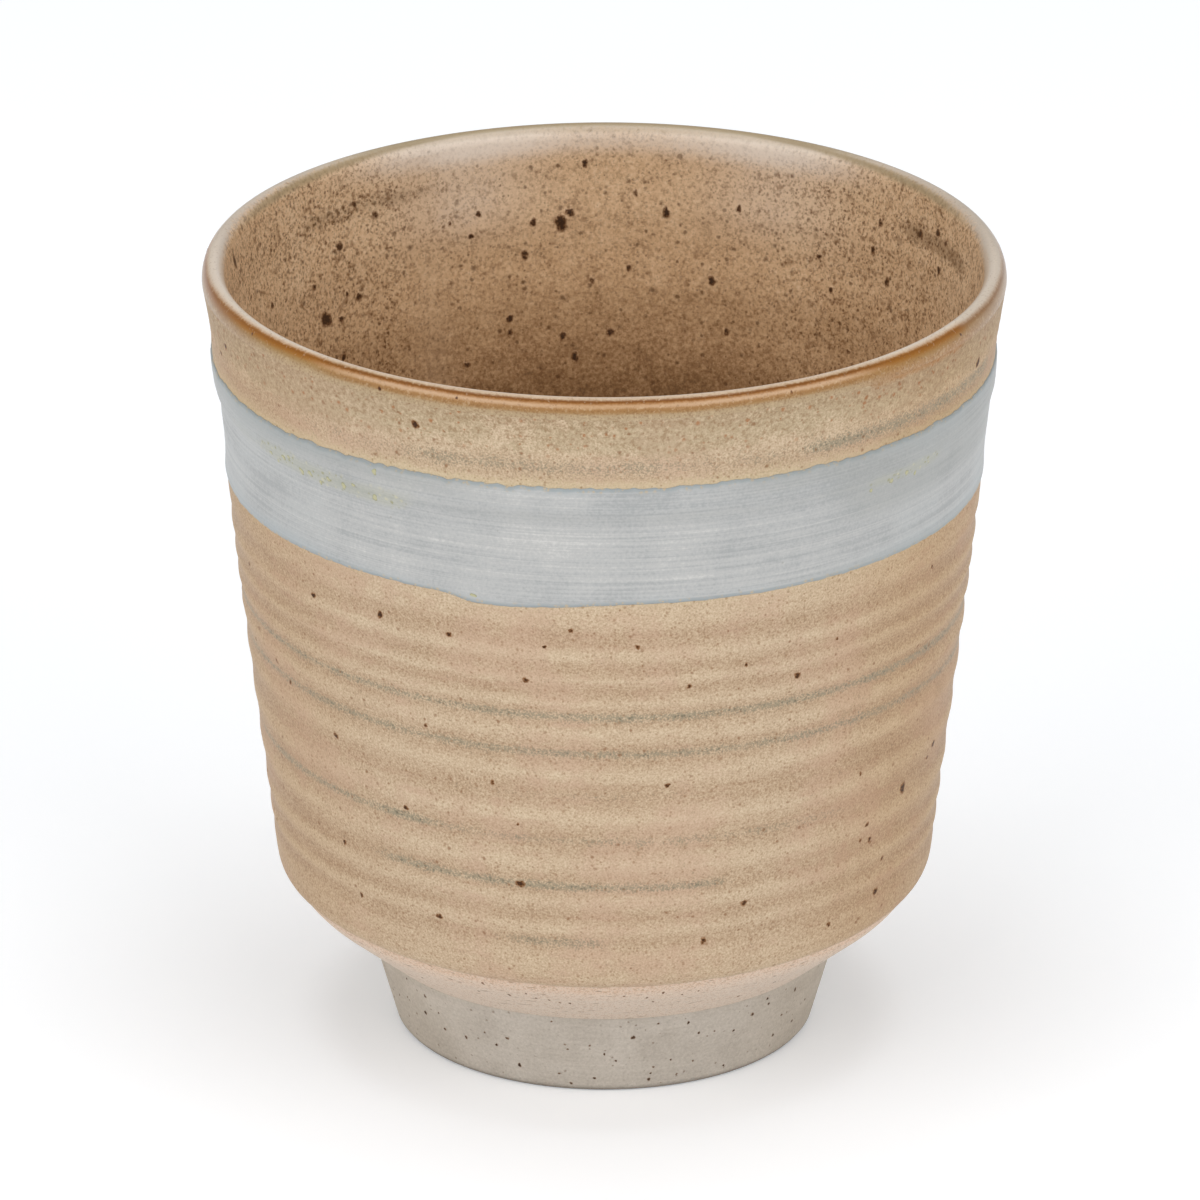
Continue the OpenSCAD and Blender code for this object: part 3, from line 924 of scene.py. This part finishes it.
def make_slip_band(material):
    edge = 0.04 * (1 - np.cos(np.linspace(0, math.pi / 2, 6)))
    share = rows_of(edge, np.linspace(0.04, 0.96, 46)[1:-1], 1 - edge[::-1])
    low, high = band_low_edge(TURN), band_high_edge(TURN)
    z = low + share * (high - low)
    inset = np.minimum(z - low, high - z)
    streaks = waver(z / MM * 2.2 + 0.3 * np.sin(TURN), 41, 2, 12, 0.4) + 0.5 * waver(TURN, 42, 3, 30)
    bead = 0.12 * MM * bell(TURN / DEGREE + 20, 1.6) * bell(z - low, 0.6 * MM)
    thick = BAND_T * rounded(inset / BAND_EDGE_H) * (0.85 + 0.12 * streaks) + bead
    outer = glaze_surface(z, TURN) + thick - TUCK * (inset < 1e-9)
    back_z = np.linspace(0.98, 0.02, 6)[:, None] * (high - low) + low
    back = glaze_surface(back_z, TURN) - 0.12 * MM
    radius, height = joined((outer, z), (back, back_z))
    inset = np.concatenate([inset, np.ones_like(back_z)])
    angle = TURN / DEGREE
    slant = (angle + 45) * 0.03 * MM
    spots = window(TURN, -56, -34, 6) * bell(height - 72.2 * MM + slant, 0.9 * MM)
    spots = spots + 0.8 * window(TURN, 44, 56, 5) * bell(height - 72.0 * MM, 0.8 * MM)
    spots = spots + 0.35 * window(TURN, -70, -30, 12) * bell(height - 72.6 * MM, 1.6 * MM)
    near_edge = np.exp(-np.maximum(inset, 0) / (0.9 * MM))
    # Painted shade: darker on the right, towards the flanks by the upper edge and on the right by the lower
    # edge; also a darker streak below the upper edge
    shade = 0.85 * window(TURN, 44, 76, 14) * smooth(height, 66 * MM, 71 * MM)
    shade = shade + 0.7 * smooth(np.abs(angle), 8, 30) * smooth(height, high - 3.2 * MM, high - 0.8 * MM)
    shade = shade + 0.35 * bell(height - high + 3.4 * MM, 0.8 * MM)
    lower = 1 - smooth(height, low + 0.3 * MM, low + 1.6 * MM)
    shade = shade + 0.5 * window(TURN, 45, 90, 30) * lower
    fields = {
        "edge": bell(np.maximum(inset, 0), 0.5 * MM),
        "blue": near_edge * 0.7 + 0.35 * smooth(np.abs(angle), 22, 60),
        "thin": spots,
        "shade": shade,
    }
    charts = ((len(outer) - 1, (0, 0, 1, 0.94), 4), (len(radius), (0, 0.945, 1, 1), 1))
    lathe("slip_band", radius, height, charts, fields, material, "blue_slip")


def lip_round(angle, sunk):
    """Half round of the lip, as (radius, height): angle 0 is outside, pi inside."""
    half = LIP_T / 2
    dip = 0.06 * MM * (1 + waver(TURN, 51, 2, 6)) * np.sin(angle)
    radius = RIM_R - half + (half - sunk) * np.cos(angle) + 0 * TURN
    return radius, LIP_H + (CUP_H - LIP_H - sunk) * np.sin(angle) - dip


# How far the lip's colours are drawn in towards the inside, at angles from the front
LIP_SHIFT_ANGLES = (-180, -110, -80, -65, -50, 34, 52, 65, 80, 180)
LIP_SHIFTS = (0.075, 0.1, 0.09, 0.02, 0, 0, 0.025, 0.025, 0.04, 0.075)


def lip_fields(way, z, turn):
    """What drives the lip's colours: the way over its round, and where each colour, the painted highlight
    and the painted shade lie round the cup.
    """
    angle = turn / DEGREE
    off_front = np.abs(angle)
    shift = np.interp(angle, LIP_SHIFT_ANGLES, LIP_SHIFTS)
    pale_end = 0.24 * (1 - smooth(off_front, 85, 110)) + 0 * way
    sides = smooth(off_front, 52, 68) * (1 - smooth(off_front, 100, 130)) * (1 - smooth(way, 0.14, 0.26))
    deep = window(turn, -100, -70, 8) * bell(way - 0.2, 0.13)
    middle = np.interp(off_front, [100, 130, 145, 158, 180], [0.88, 0.78, 0.7, 0.64, 0.63])
    line = 0.85 * bell(way - middle, 0.12)
    behind = smooth(off_front, 122, 152)
    line = np.maximum(line, behind * (1 - smooth(way, middle, middle + 0.16)))
    line = np.maximum(line, 0.45 * behind * smooth(way, 0.6, 0.7) * (1 - smooth(way, 0.8, 0.95)))
    return {
        "over": way + shift,
        "pale_end": pale_end,
        # Painted shade on the top of the lip at the sides
        "lip_top_shade": smooth(off_front, 85, 105) * (1 - smooth(off_front, 122, 150)) * smooth(way, 0.3, 0.5),
        "rust": np.maximum(0.45 * sides, 0.65 * deep),
        "iron": window(turn, -118, 56, 12) + 0 * way,
        # Painted highlight: where the front of the lip takes its peach highlight line
        "painted_highlight": window(turn, -38, 36, 10) + 0 * way,
        "stain": window(turn, 46, 58, 12) + 0 * way,
        "olive": line * smooth(off_front, 95, 120),
        **liner_fields(z, turn),
    }


def make_iron_lip(material):
    outer = lip_round(np.linspace(0, LIP_END, LIP_ROWS)[:, None], 0)
    under = lip_round(np.linspace(LIP_END, 0, LIP_BACK_ROWS)[:, None], IRON_T)
    radius, height = joined(outer, under)
    way = rows_of(np.linspace(0, 1, LIP_ROWS), np.linspace(1, 0, LIP_BACK_ROWS))
    fields = lip_fields(way, height, TURN)
    charts = ((LIP_ROWS - 1, (0, 0, 1, 0.9), 6), (len(radius), (0, 0.905, 1, 1), 2))
    lathe("iron_lip", radius, height, charts, fields, material, "iron_glaze")


def liner_fields(z, turn):
    """What drives the inside's colours: gathered specks, painted reflection by the rim, shade deeper down
    that is partly painted, and a pale run.
    """
    angle = turn / DEGREE
    ring = bell(z - LIP_H + 3.2 * MM, 1.1 * MM)
    where = 0.1 + 0.7 * window(turn, -149, -130, 8) + 0.35 * window(turn, -122, -70, 15)
    where = where + 1.3 * window(turn, 108, 122, 8)
    rim = smooth(z, LIP_H - 2 * MM, LIP_H + 0.7 * MM)
    # Painted sheen by the rim, strongest in two zones either side of the back
    zones = bell(apart(angle, -157), 15) + 0.85 * bell(apart(angle, 152), 15)
    below = 0.75 * smooth(z, LIP_H - 13 * MM, LIP_H - 5 * MM) + 0.25 * rim
    # Also darker in three places round the side
    darker = 0.09 * window(turn, 120, 132, 18) + 0.05 * window(turn, -150, -128, 8)
    darker = darker + 0.11 * window(turn, -112, -88, 10)
    return {
        "gather": ring * where,
        "painted_sheen": 0.5 * smooth(np.abs(angle), 120, 160) * rim + 0.5 * zones * below,
        "low": 1 - smooth(z, 42 * MM, LIP_H - 3 * MM) + darker,
        "side": 1 - smooth(np.abs(angle), 140, 165) + 0 * z,
        "run": bell(angle + 150, 3.5) * smooth(z, 45 * MM, 62 * MM),
    }


def inside_surface(z, turn, lift):
    """Radius of the glaze inside, or of a place that is lifted off it."""
    return inside_line(z) + inside_wave(z, turn) - lift


def fillet_rows(count, sunk):
    """Rows down the round between wall and floor inside, sunk into the clay."""
    start = math.atan2(FILLET_HIGH[1] - FILLET_CENTRE[1], FILLET_HIGH[0] - FILLET_CENTRE[0])
    angles = np.linspace(start, -math.pi / 2, count)[:, None]
    radius = across(FILLET_CENTRE[0] + (INSIDE_ROUND + sunk) * np.cos(angles))
    return radius, across(FILLET_CENTRE[1] + (INSIDE_ROUND + sunk) * np.sin(angles))


def make_liner(material):
    top_r, top_z = lip_round(LIP_END, 0)
    share = np.linspace(0, 1, 118)[:, None]
    wall_z = top_z + share * (FILLET_HIGH[1] - top_z)
    wall_r = np.where(share == 0, top_r, inside_surface(wall_z, TURN, 0))
    fillet_r, fillet_z = (rows[1:] for rows in fillet_rows(26, 0))
    blend = np.linspace(1, 0, 25)[:, None]
    fillet_r = fillet_r + blend * inside_wave(fillet_z, TURN)
    floor_r = spread(FILLET_LOW[0], 0.4 * MM, 34)[1:]
    swirl = np.cos(2 * math.pi * floor_r / (5.2 * MM) + TURN) * smooth(floor_r, 0, 5 * MM)
    swirl = swirl * (1 - smooth(floor_r, FILLET_LOW[0] - 6 * MM, FILLET_LOW[0]))
    inner = 1 - smooth(floor_r, FILLET_LOW[0] - 4 * MM, FILLET_LOW[0])
    floor_z = FLOOR_H - 0.14 * MM * (1 - swirl) * inner
    bend_r, bend_z = fillet_rows(12, LINER_T)
    rise = spread(FILLET_HIGH[1], LIP_H, 7)[1:]
    under = (across([[10 * MM]]), across([[LINER_LOW]]))
    back_r, back_z = joined(under, (bend_r[::-1], bend_z[::-1]), (inside_line(rise) + LINER_T, rise))
    radius, height = joined((back_r, back_z), (wall_r, wall_z), (fillet_r, fillet_z), (floor_r, floor_z))
    fields = liner_fields(height, TURN)
    back, wall = len(back_r), len(back_r) + len(wall_r) + len(fillet_r) - 1
    charts = (
        (back, (0, 0.95, 0.9, 1), 1),
        (wall, (0, 0, 0.93, 0.8), 2),
        (len(radius) - 1, (0, 0.81, 0.9, 0.94), 1),
    )
    poles = (LINER_LOW, floor_z[-1].mean())
    lathe("liner_glaze", radius, height, charts, fields, material, "liner", poles)


def strip_fields(z, turn):
    """How far the bare clay is flashed with orange, most of all by the glaze line."""
    share = (z - FOOT_H) / (GLAZE_LINE + glaze_line_lift(turn) - FOOT_H)
    return {"flash": np.where(z > FOOT_H + 0.2 * MM, 0.3 + 0.5 * smooth(share, 0.55, 1.0), 0.1)}


def make_cup_body(material):
    disc_r = spread(0.5 * MM, FOOT_TOP_R, 50)
    ridge = 0.06 * MM * (1 + np.cos(2 * math.pi * disc_r / (1.9 * MM) - TURN))
    disc_z = FOOT_H + ridge * (1 - smooth(disc_r, FOOT_TOP_R - 8 * MM, FOOT_TOP_R - 5 * MM))
    strip_z = spread(FOOT_H, GLAZE_LINE + 2.5 * MM, 44)[1:]
    lines = 0.012 * MM * waver(strip_z / MM * 3.1 + 0.15 * np.sin(TURN), 61, 2, 9, 0.3)
    strip_r = clay_line(strip_z) + lines * smooth(strip_z, FOOT_H, FOOT_H + MM)
    wall_z = spread(GLAZE_LINE + 5 * MM, LIP_H, 16)
    wall_r = clay_line(wall_z) - 0.25 * MM
    lip = lip_round(np.linspace(0.2, math.pi - 0.2, 8)[:, None], IRON_T + 0.1 * MM)
    inner_z = spread(LIP_H, FILLET_HIGH[1], 8)[:-1]
    inner = (inside_line(inner_z) + LINER_T, inner_z)
    floor = (across([[8 * MM]]), across([[LINER_LOW]]))
    bend = fillet_rows(12, LINER_T)
    radius, height = joined(
        (disc_r, disc_z), (strip_r, strip_z), (wall_r, wall_z), lip, inner, bend, floor
    )
    fields = strip_fields(height, TURN)
    disc, strip = len(disc_r) - 1, len(disc_r) + len(strip_r) - 1
    charts = (
        (disc, (0, 0.55, 0.94, 0.9), 1),
        (strip, (0, 0, 1, 0.54), 4),
        (len(radius) - 1, (0, 0.91, 0.94, 1), 1),
    )
    lathe("cup_body", radius, height, charts, fields, material, "clay", (FOOT_H, LINER_LOW))


def foot_fields(z, turn):
    """Where the foot gets a painted contact shadow by the table, and painted shade at its sides."""
    # Painted shade towards the sides of the foot
    foot_side_shade = smooth(np.abs(apart(turn / DEGREE, 0)), 25, 65) + 0 * z
    return {"base": 1 - smooth(z, 0.1 * MM, 0.7 * MM) + 0 * turn, "foot_side_shade": foot_side_shade}


def make_foot_ring(material):
    recess_r = FOOT_BASE_R - FOOT_T
    top = FOOT_H + 0.05 * MM
    outer_z = spread(FOOT_EDGE, top, 36)
    outer_r = np.interp(outer_z, [0, FOOT_H], [FOOT_BASE_R, FOOT_TOP_R])
    outer_r = outer_r + 0.02 * MM * waver(outer_z / MM * 2.4 + 0.1 * np.sin(TURN), 71, 2, 9, 0.3)
    inner_z = spread(top, FOOT_EDGE, 20)
    inner_r = np.interp(inner_z, [0, FOOT_H], [recess_r, recess_r - RECESS_TAPER])
    turn_in = np.linspace(0, math.pi / 2, 7)[1:, None]
    inner_edge = (
        across(recess_r + FOOT_EDGE * (1 - np.cos(turn_in))),
        across(FOOT_EDGE * (1 - np.sin(turn_in))),
    )
    base_r = spread(recess_r + FOOT_EDGE, FOOT_BASE_R - FOOT_EDGE, 8)[1:]
    turn_out = np.linspace(0, math.pi / 2, 7)[1:-1, None]
    outer_edge = (
        across(FOOT_BASE_R - FOOT_EDGE + FOOT_EDGE * np.sin(turn_out)),
        across(FOOT_EDGE * (1 - np.cos(turn_out))),
    )
    radius, height = joined(
        (outer_r, outer_z), (inner_r, inner_z), inner_edge, (base_r, np.zeros_like(base_r)), outer_edge
    )
    fields = foot_fields(height, TURN)
    inner = len(outer_r) - 1
    charts = ((inner, (0, 0, 1, 0.5), 3), (len(radius), (0, 0.51, 1, 1), 2))
    lathe("foot_ring", radius, height, charts, fields, material, "foot_clay")


# Bigger iron specks: angle from the front in degrees, height and width in millimetres
OUTSIDE_SPECKS = (
    (-50, 57.7, 0.8), (-36, 58.2, 0.9), (-24, 57.7, 0.7), (-5, 59.5, 0.6), (-12, 53.5, 0.8),
    (-48, 41.9, 0.8), (-29, 46.5, 0.5), (-18, 41.1, 0.6), (-34, 36.1, 0.7), (-14, 36.5, 0.4),
    (-49, 29.2, 0.7), (-14, 29.4, 1.1), (-46, 23.6, 0.6), (-29, 24.0, 0.9), (-13, 18.4, 0.8),
    (-64, 46.8, 0.6), (-60, 45.3, 0.6), (13, 52.7, 0.6), (22, 54.4, 0.5), (31, 52.0, 0.8),
    (38, 55.1, 0.5), (10, 41.3, 0.7), (70, 35.7, 0.9), (68, 34.6, 0.6), (59, 33.3, 1.3),
    (46, 37.9, 0.5), (49, 31.3, 0.7), (48, 29.6, 0.5), (50.5, 29.2, 0.7), (55, 26.0, 0.6),
    (54, 22.3, 1.0), (24, 26.2, 0.8), (17, 22.4, 0.8), (42, 20.9, 0.7), (60, 58.6, 0.6),
    (69, 79.4, 1.2), (-27.5, 81.2, 1.1), (-9, 57.5, 0.5), (5, 57.6, 0.6),
)
INSIDE_SPECKS = (
    (-100, 82.5, 1.2, 1.9, 30), (-173, 75.2, 1.68), (-174.5, 76.3, 1.08), (-168.5, 75.4, 0.96),
    (-167, 71.9, 1.08), (-133, 76.8, 0.96), (-130, 77.8, 0.6), (-141, 79, 0.96), (-137, 80.8, 0.84),
    (-128, 69.7, 1.92), (-131.5, 69.1, 0.84), (-136, 70.8, 0.96), (-133.5, 71.5, 0.6),
    (-126, 73.7, 0.84), (-159.5, 76.9, 0.72), (-154.5, 76.3, 0.6), (-158, 74.6, 0.72),
    (-177, 81.6, 0.84), (-164, 65.1, 0.96), (-164, 63.6, 0.84), (-175, 60.5, 0.96), (-156, 60.7, 0.84),
    (-173, 62.8, 0.84), (179, 63.1, 0.96), (-178, 68.8, 0.72), (-131, 65, 0.84), (170, 76.4, 1.08),
    (175, 78.4, 0.72), (158, 77.6, 0.72), (131, 79.8, 0.84), (121, 80.6, 1.08), (116, 81.8, 0.96),
    (113, 81.3, 0.84), (132, 76.7, 0.84), (143, 74.1, 0.72), (114, 78.1, 0.96), (128, 73.8, 1.08),
    (140, 70.9, 0.72), (162, 69.4, 1.08), (159, 64, 0.84), (176, 70.2, 0.72), (135, 64.9, 0.72),
)
FOOT_SPECKS = (
    (-67, 5.3, 0.3), (-61, 6.1, 0.3), (-58, 8.9, 0.3), (-58, 4.6, 0.3), (-53, 5.5, 0.5),
    (-51, 7.9, 0.5), (-47, 6.4, 0.3), (-46, 4.5, 0.4), (-38.5, 4.5, 0.5), (-32, 5.9, 0.3),
    (-29, 4.6, 0.35), (-25.4, 5.8, 0.5), (-23, 2.5, 0.5), (-13, 8.9, 0.3), (-12, 2.1, 0.4),
    (-10, 6.0, 0.3), (-9.4, 5.4, 0.3), (-9, 0.9, 0.4), (-3.7, 6.0, 0.3), (-2.6, 1.7, 0.4),
    (0, 4.9, 0.3), (3, 4.0, 0.3), (7.2, 7.0, 0.5), (12, 1.3, 0.5), (12.4, 2.1, 0.3), (13, 2.9, 0.3),
    (13.4, 8.6, 0.3), (17.6, 3.6, 0.3), (19.7, 1.6, 0.3), (21.2, 8.2, 0.4), (24, 3.0, 0.35),
    (24.5, 6.6, 0.4), (29, 6.4, 0.3), (34, 1.4, 0.35), (35, 5.8, 0.35), (40.3, 7.2, 0.55),
    (44.5, 8.6, 0.35), (45.5, 7.8, 0.35), (51, 3.0, 0.4), (52.6, 5.3, 0.35), (56, 7.9, 0.45),
    (59.6, 3.4, 0.4), (64.5, 5.2, 0.35),
)
STRIP_SPECKS = (
    (-23, 15.9, 0.45), (-19, 14.1, 0.4), (-15, 15.0, 0.3), (-11, 13.9, 0.3), (-9, 13.4, 0.3),
    (-7, 13.4, 0.35), (3.7, 15.3, 0.3), (8.2, 14.7, 0.35), (11, 15.6, 0.4), (9.8, 13.6, 0.3),
    (15, 14.8, 0.3), (38, 12.9, 0.35), (-26, 13.7, 0.3), (-13.5, 14.1, 0.3), (18, 15.2, 0.3),
    (31, 11.5, 0.4), (-41, 13.0, 0.35), (50, 13.6, 0.35),
)
LIP_SPECKS = (
    (-60, 84.9, 0.4), (-33, 84.4, 0.55), (-21, 84.9, 0.35), (27, 84.8, 0.35), (61, 84.6, 0.4),
    (98, 84.5, 0.5), (131, 84.2, 0.4), (-96, 84.6, 0.4), (-142, 84.4, 0.5),
)
# Grains of tan glaze that broke through the slip, and a bead where the brush stroke starts
BAND_GRAINS = (
    (-57.5, 72.2, 0.6), (-56, 71.6, 0.5), (-54, 72.5, 0.7), (-52.5, 72.9, 0.5), (-50, 71.8, 0.8),
    (-48, 72.0, 0.7), (-46, 71.4, 0.5), (-44, 72.2, 0.6), (-41, 72.0, 0.8), (-39, 72.5, 0.5),
    (-34.8, 74.8, 0.8), (-35.3, 71.7, 0.8), (-19.7, 62.6, 1.0), (42.4, 71.2, 0.5), (46.5, 71.5, 0.6),
    (49.8, 71.7, 0.6), (52, 71.2, 0.5),
)


def scattered(seed, count, angles, heights, widths):
    """More specks, strewn over the side that the photograph doesn't show."""
    rng = np.random.default_rng(seed)
    draw = zip(rng.uniform(*angles, count), rng.uniform(*heights, count), rng.uniform(*widths, count))
    return tuple((float(a), float(h), float(w)) for a, h, w in draw)


def lip_share(z):
    """Way over the lip's round at a height on its outer side, as an angle from 0 to a quarter turn."""
    return np.arcsin(np.clip((z - LIP_H) / (CUP_H - LIP_H), 0, 1))


def on_glaze(z, turn, lift):
    return glaze_surface(z, turn) + lift


def on_foot(z, turn, lift):
    return np.interp(z, [0, FOOT_H], [FOOT_BASE_R, FOOT_TOP_R]) + lift


def on_strip(z, turn, lift):
    return clay_line(z) + lift


def on_lip(z, turn, lift):
    return RIM_R - LIP_T / 2 * (1 - np.cos(lip_share(z))) + 0.5 * lift - 0.01 * MM


def on_band(z, turn, lift):
    return glaze_surface(z, turn) + 0.8 * BAND_T + 1.5 * lift


def all_round(fields):
    """The same fields for angles that have gone past the back of the cup."""
    return lambda z, turn: fields(z, (turn + math.pi) % (2 * math.pi) - math.pi)


def lip_speck_fields(z, turn):
    return lip_fields(lip_share(z) / LIP_END, z, turn)


def grain_fields(z, turn):
    return {"edge": 0 * z, "blue": 0.4 + 0 * z, "thin": 0.95 + 0 * z, "shade": 0 * z}


def make_specks(tan, liner, foot, slip, iron, clay):
    """The bigger specks of each coat, with the seed of their shapes and their range of darkness."""
    back = scattered(81, 44, (78, 290), (21, 60), (0.4, 1.0))
    upper = scattered(82, 8, (78, 290), (78, 81), (0.4, 0.9))
    outer = OUTSIDE_SPECKS + back + upper
    inner = INSIDE_SPECKS + scattered(83, 60, (-120, 110), (28, 80), (0.4, 1.0))
    low = FOOT_SPECKS + scattered(84, 70, (72, 288), (1.0, 9), (0.25, 0.5))
    bare = STRIP_SPECKS + scattered(85, 26, (70, 290), (11, 15.5), (0.25, 0.45))
    for lot in (
        ("outer_specks", outer, on_glaze, all_round(tan_fields), tan, "tan_glaze", 91, (0.45, 0.7)),
        ("inner_specks", inner, inside_surface, all_round(liner_fields), liner, "liner", 92, (0.3, 0.55)),
        ("foot_specks", low, on_foot, foot_fields, foot, "foot_clay", 93, (0.5, 0.85)),
        ("strip_specks", bare, on_strip, strip_fields, clay, "clay", 96, (0.6, 0.9)),
        ("lip_specks", LIP_SPECKS, on_lip, lip_speck_fields, iron, "iron_glaze", 95, (0.45, 0.7)),
        ("band_grains", BAND_GRAINS, on_band, grain_fields, slip, "blue_slip", 94, (0.7, 0.9)),
    ):
        disc_specks(*lot)


tan, liner, foot, slip = tan_glaze(), liner_glaze(), foot_clay(), blue_slip()
iron, clay = iron_glaze(), bare_clay()
make_outer_glaze(tan)
make_slip_band(slip)
make_iron_lip(iron)
make_liner(liner)
make_cup_body(clay)
make_foot_ring(foot)
make_specks(tan, liner, foot, slip, iron, clay)


# Stage, camera and light


FLOOR_LIFT = 0.15
FLOOR_SIZE = 16.0
FLOOR_WHITE = (0.964, 0.968, 0.976, 1)
FLOOR_GLOW = (0.8, 0.9, 1, 1)
WORLD_LIGHT = 0.45
CAMERA_TILT = 22.259 * DEGREE
CAMERA_DISTANCE = 1.2
AIM = Vector((-0.45 * MM, 0, 46.85 * MM))
LENS = 340.9
SENSOR = 36
# Softboxes point at this height; each has azimuth and elevation in degrees, distance, width and height in
# metres, and its glow, as bright as that much white
LAMP_AIM = Vector((0, 0, 50 * MM))
SOFTBOXES = {
    "top_softbox": (180, 86, 1.1, 0.9, 0.6, 2.4),
    "left_softbox": (-45, 34, 1.25, 1.3, 0.4, 3.05),
    "right_softbox": (45, 34, 1.25, 1.3, 0.4, 2.85),
}


def seen_strength(tree, lit, seen):
    """One strength for rays that light the cup, another for the camera, mirrored and let-through rays."""
    path = tree.nodes.new("ShaderNodeLightPath")
    looks = path.outputs["Is Camera Ray"]
    for ray in ("Is Glossy Ray", "Is Transmission Ray"):
        either = tree.nodes.new("ShaderNodeMath")
        either.operation = "MAXIMUM"
        tree.links.new(looks, either.inputs[0])
        tree.links.new(path.outputs[ray], either.inputs[1])
        looks = either.outputs[0]
    strength = tree.nodes.new("ShaderNodeMapRange")
    strength.inputs["To Min"].default_value = lit
    strength.inputs["To Max"].default_value = seen
    tree.links.new(looks, strength.inputs["Value"])
    return strength.outputs["Result"]


def make_floor():
    """White floor that keeps the cup's shadow; the camera sees it a little lifted, as in a light tent."""
    bpy.ops.mesh.primitive_plane_add(size=FLOOR_SIZE)
    floor = bpy.context.object
    floor.name = "floor"
    material = bpy.data.materials.new("floor")
    material.use_nodes = True
    tree = material.node_tree
    shader = tree.nodes["Principled BSDF"]
    shader.inputs["Base Color"].default_value = FLOOR_WHITE
    shader.inputs["Roughness"].default_value = 0.9
    shader.inputs["Specular IOR Level"].default_value = 0.0
    shader.inputs["Emission Color"].default_value = FLOOR_GLOW
    lift = seen_strength(tree, 0.0, FLOOR_LIFT)
    tree.links.new(lift, shader.inputs["Emission Strength"])
    floor.data.materials.append(material)


def make_world():
    """Even white light all round, as in a light tent."""
    world = bpy.data.worlds.new("light_tent")
    bpy.context.scene.world = world
    world.use_nodes = True
    background = world.node_tree.nodes["Background"]
    background.inputs["Color"].default_value = (1, 1, 1, 1)
    background.inputs["Strength"].default_value = WORLD_LIGHT


def softbox(name, azimuth, elevation, distance, width, height, glow):
    """Soft lamp that points at the cup; the azimuth goes from the front to the right."""
    light = bpy.data.lights.new(name, "AREA")
    light.shape = "RECTANGLE"
    light.size = width
    light.size_y = height
    light.energy = glow * math.pi * width * height
    lamp = bpy.data.objects.new(name, light)
    turn, rise = azimuth * DEGREE, elevation * DEGREE
    way = Vector((math.sin(turn) * math.cos(rise), -math.cos(turn) * math.cos(rise), math.sin(rise)))
    lamp.location = way * distance + LAMP_AIM
    lamp.rotation_euler = (-way).to_track_quat("-Z", "Y").to_euler()
    bpy.context.scene.collection.objects.link(lamp)


def make_camera():
    data = bpy.data.cameras.new("camera")
    data.lens = LENS
    data.sensor_width = SENSOR
    data.clip_start = 0.05
    data.clip_end = 50
    camera = bpy.data.objects.new("camera", data)
    back = Vector((0, -math.cos(CAMERA_TILT), math.sin(CAMERA_TILT)))
    camera.location = AIM + back * CAMERA_DISTANCE
    camera.rotation_euler = (math.pi / 2 - CAMERA_TILT, 0, 0)
    bpy.context.scene.collection.objects.link(camera)
    bpy.context.scene.camera = camera


make_floor()
make_world()
for lamp_name, settings in SOFTBOXES.items():
    softbox(lamp_name, *settings)
make_camera()
bpy.context.scene.view_settings.view_transform = "Standard"
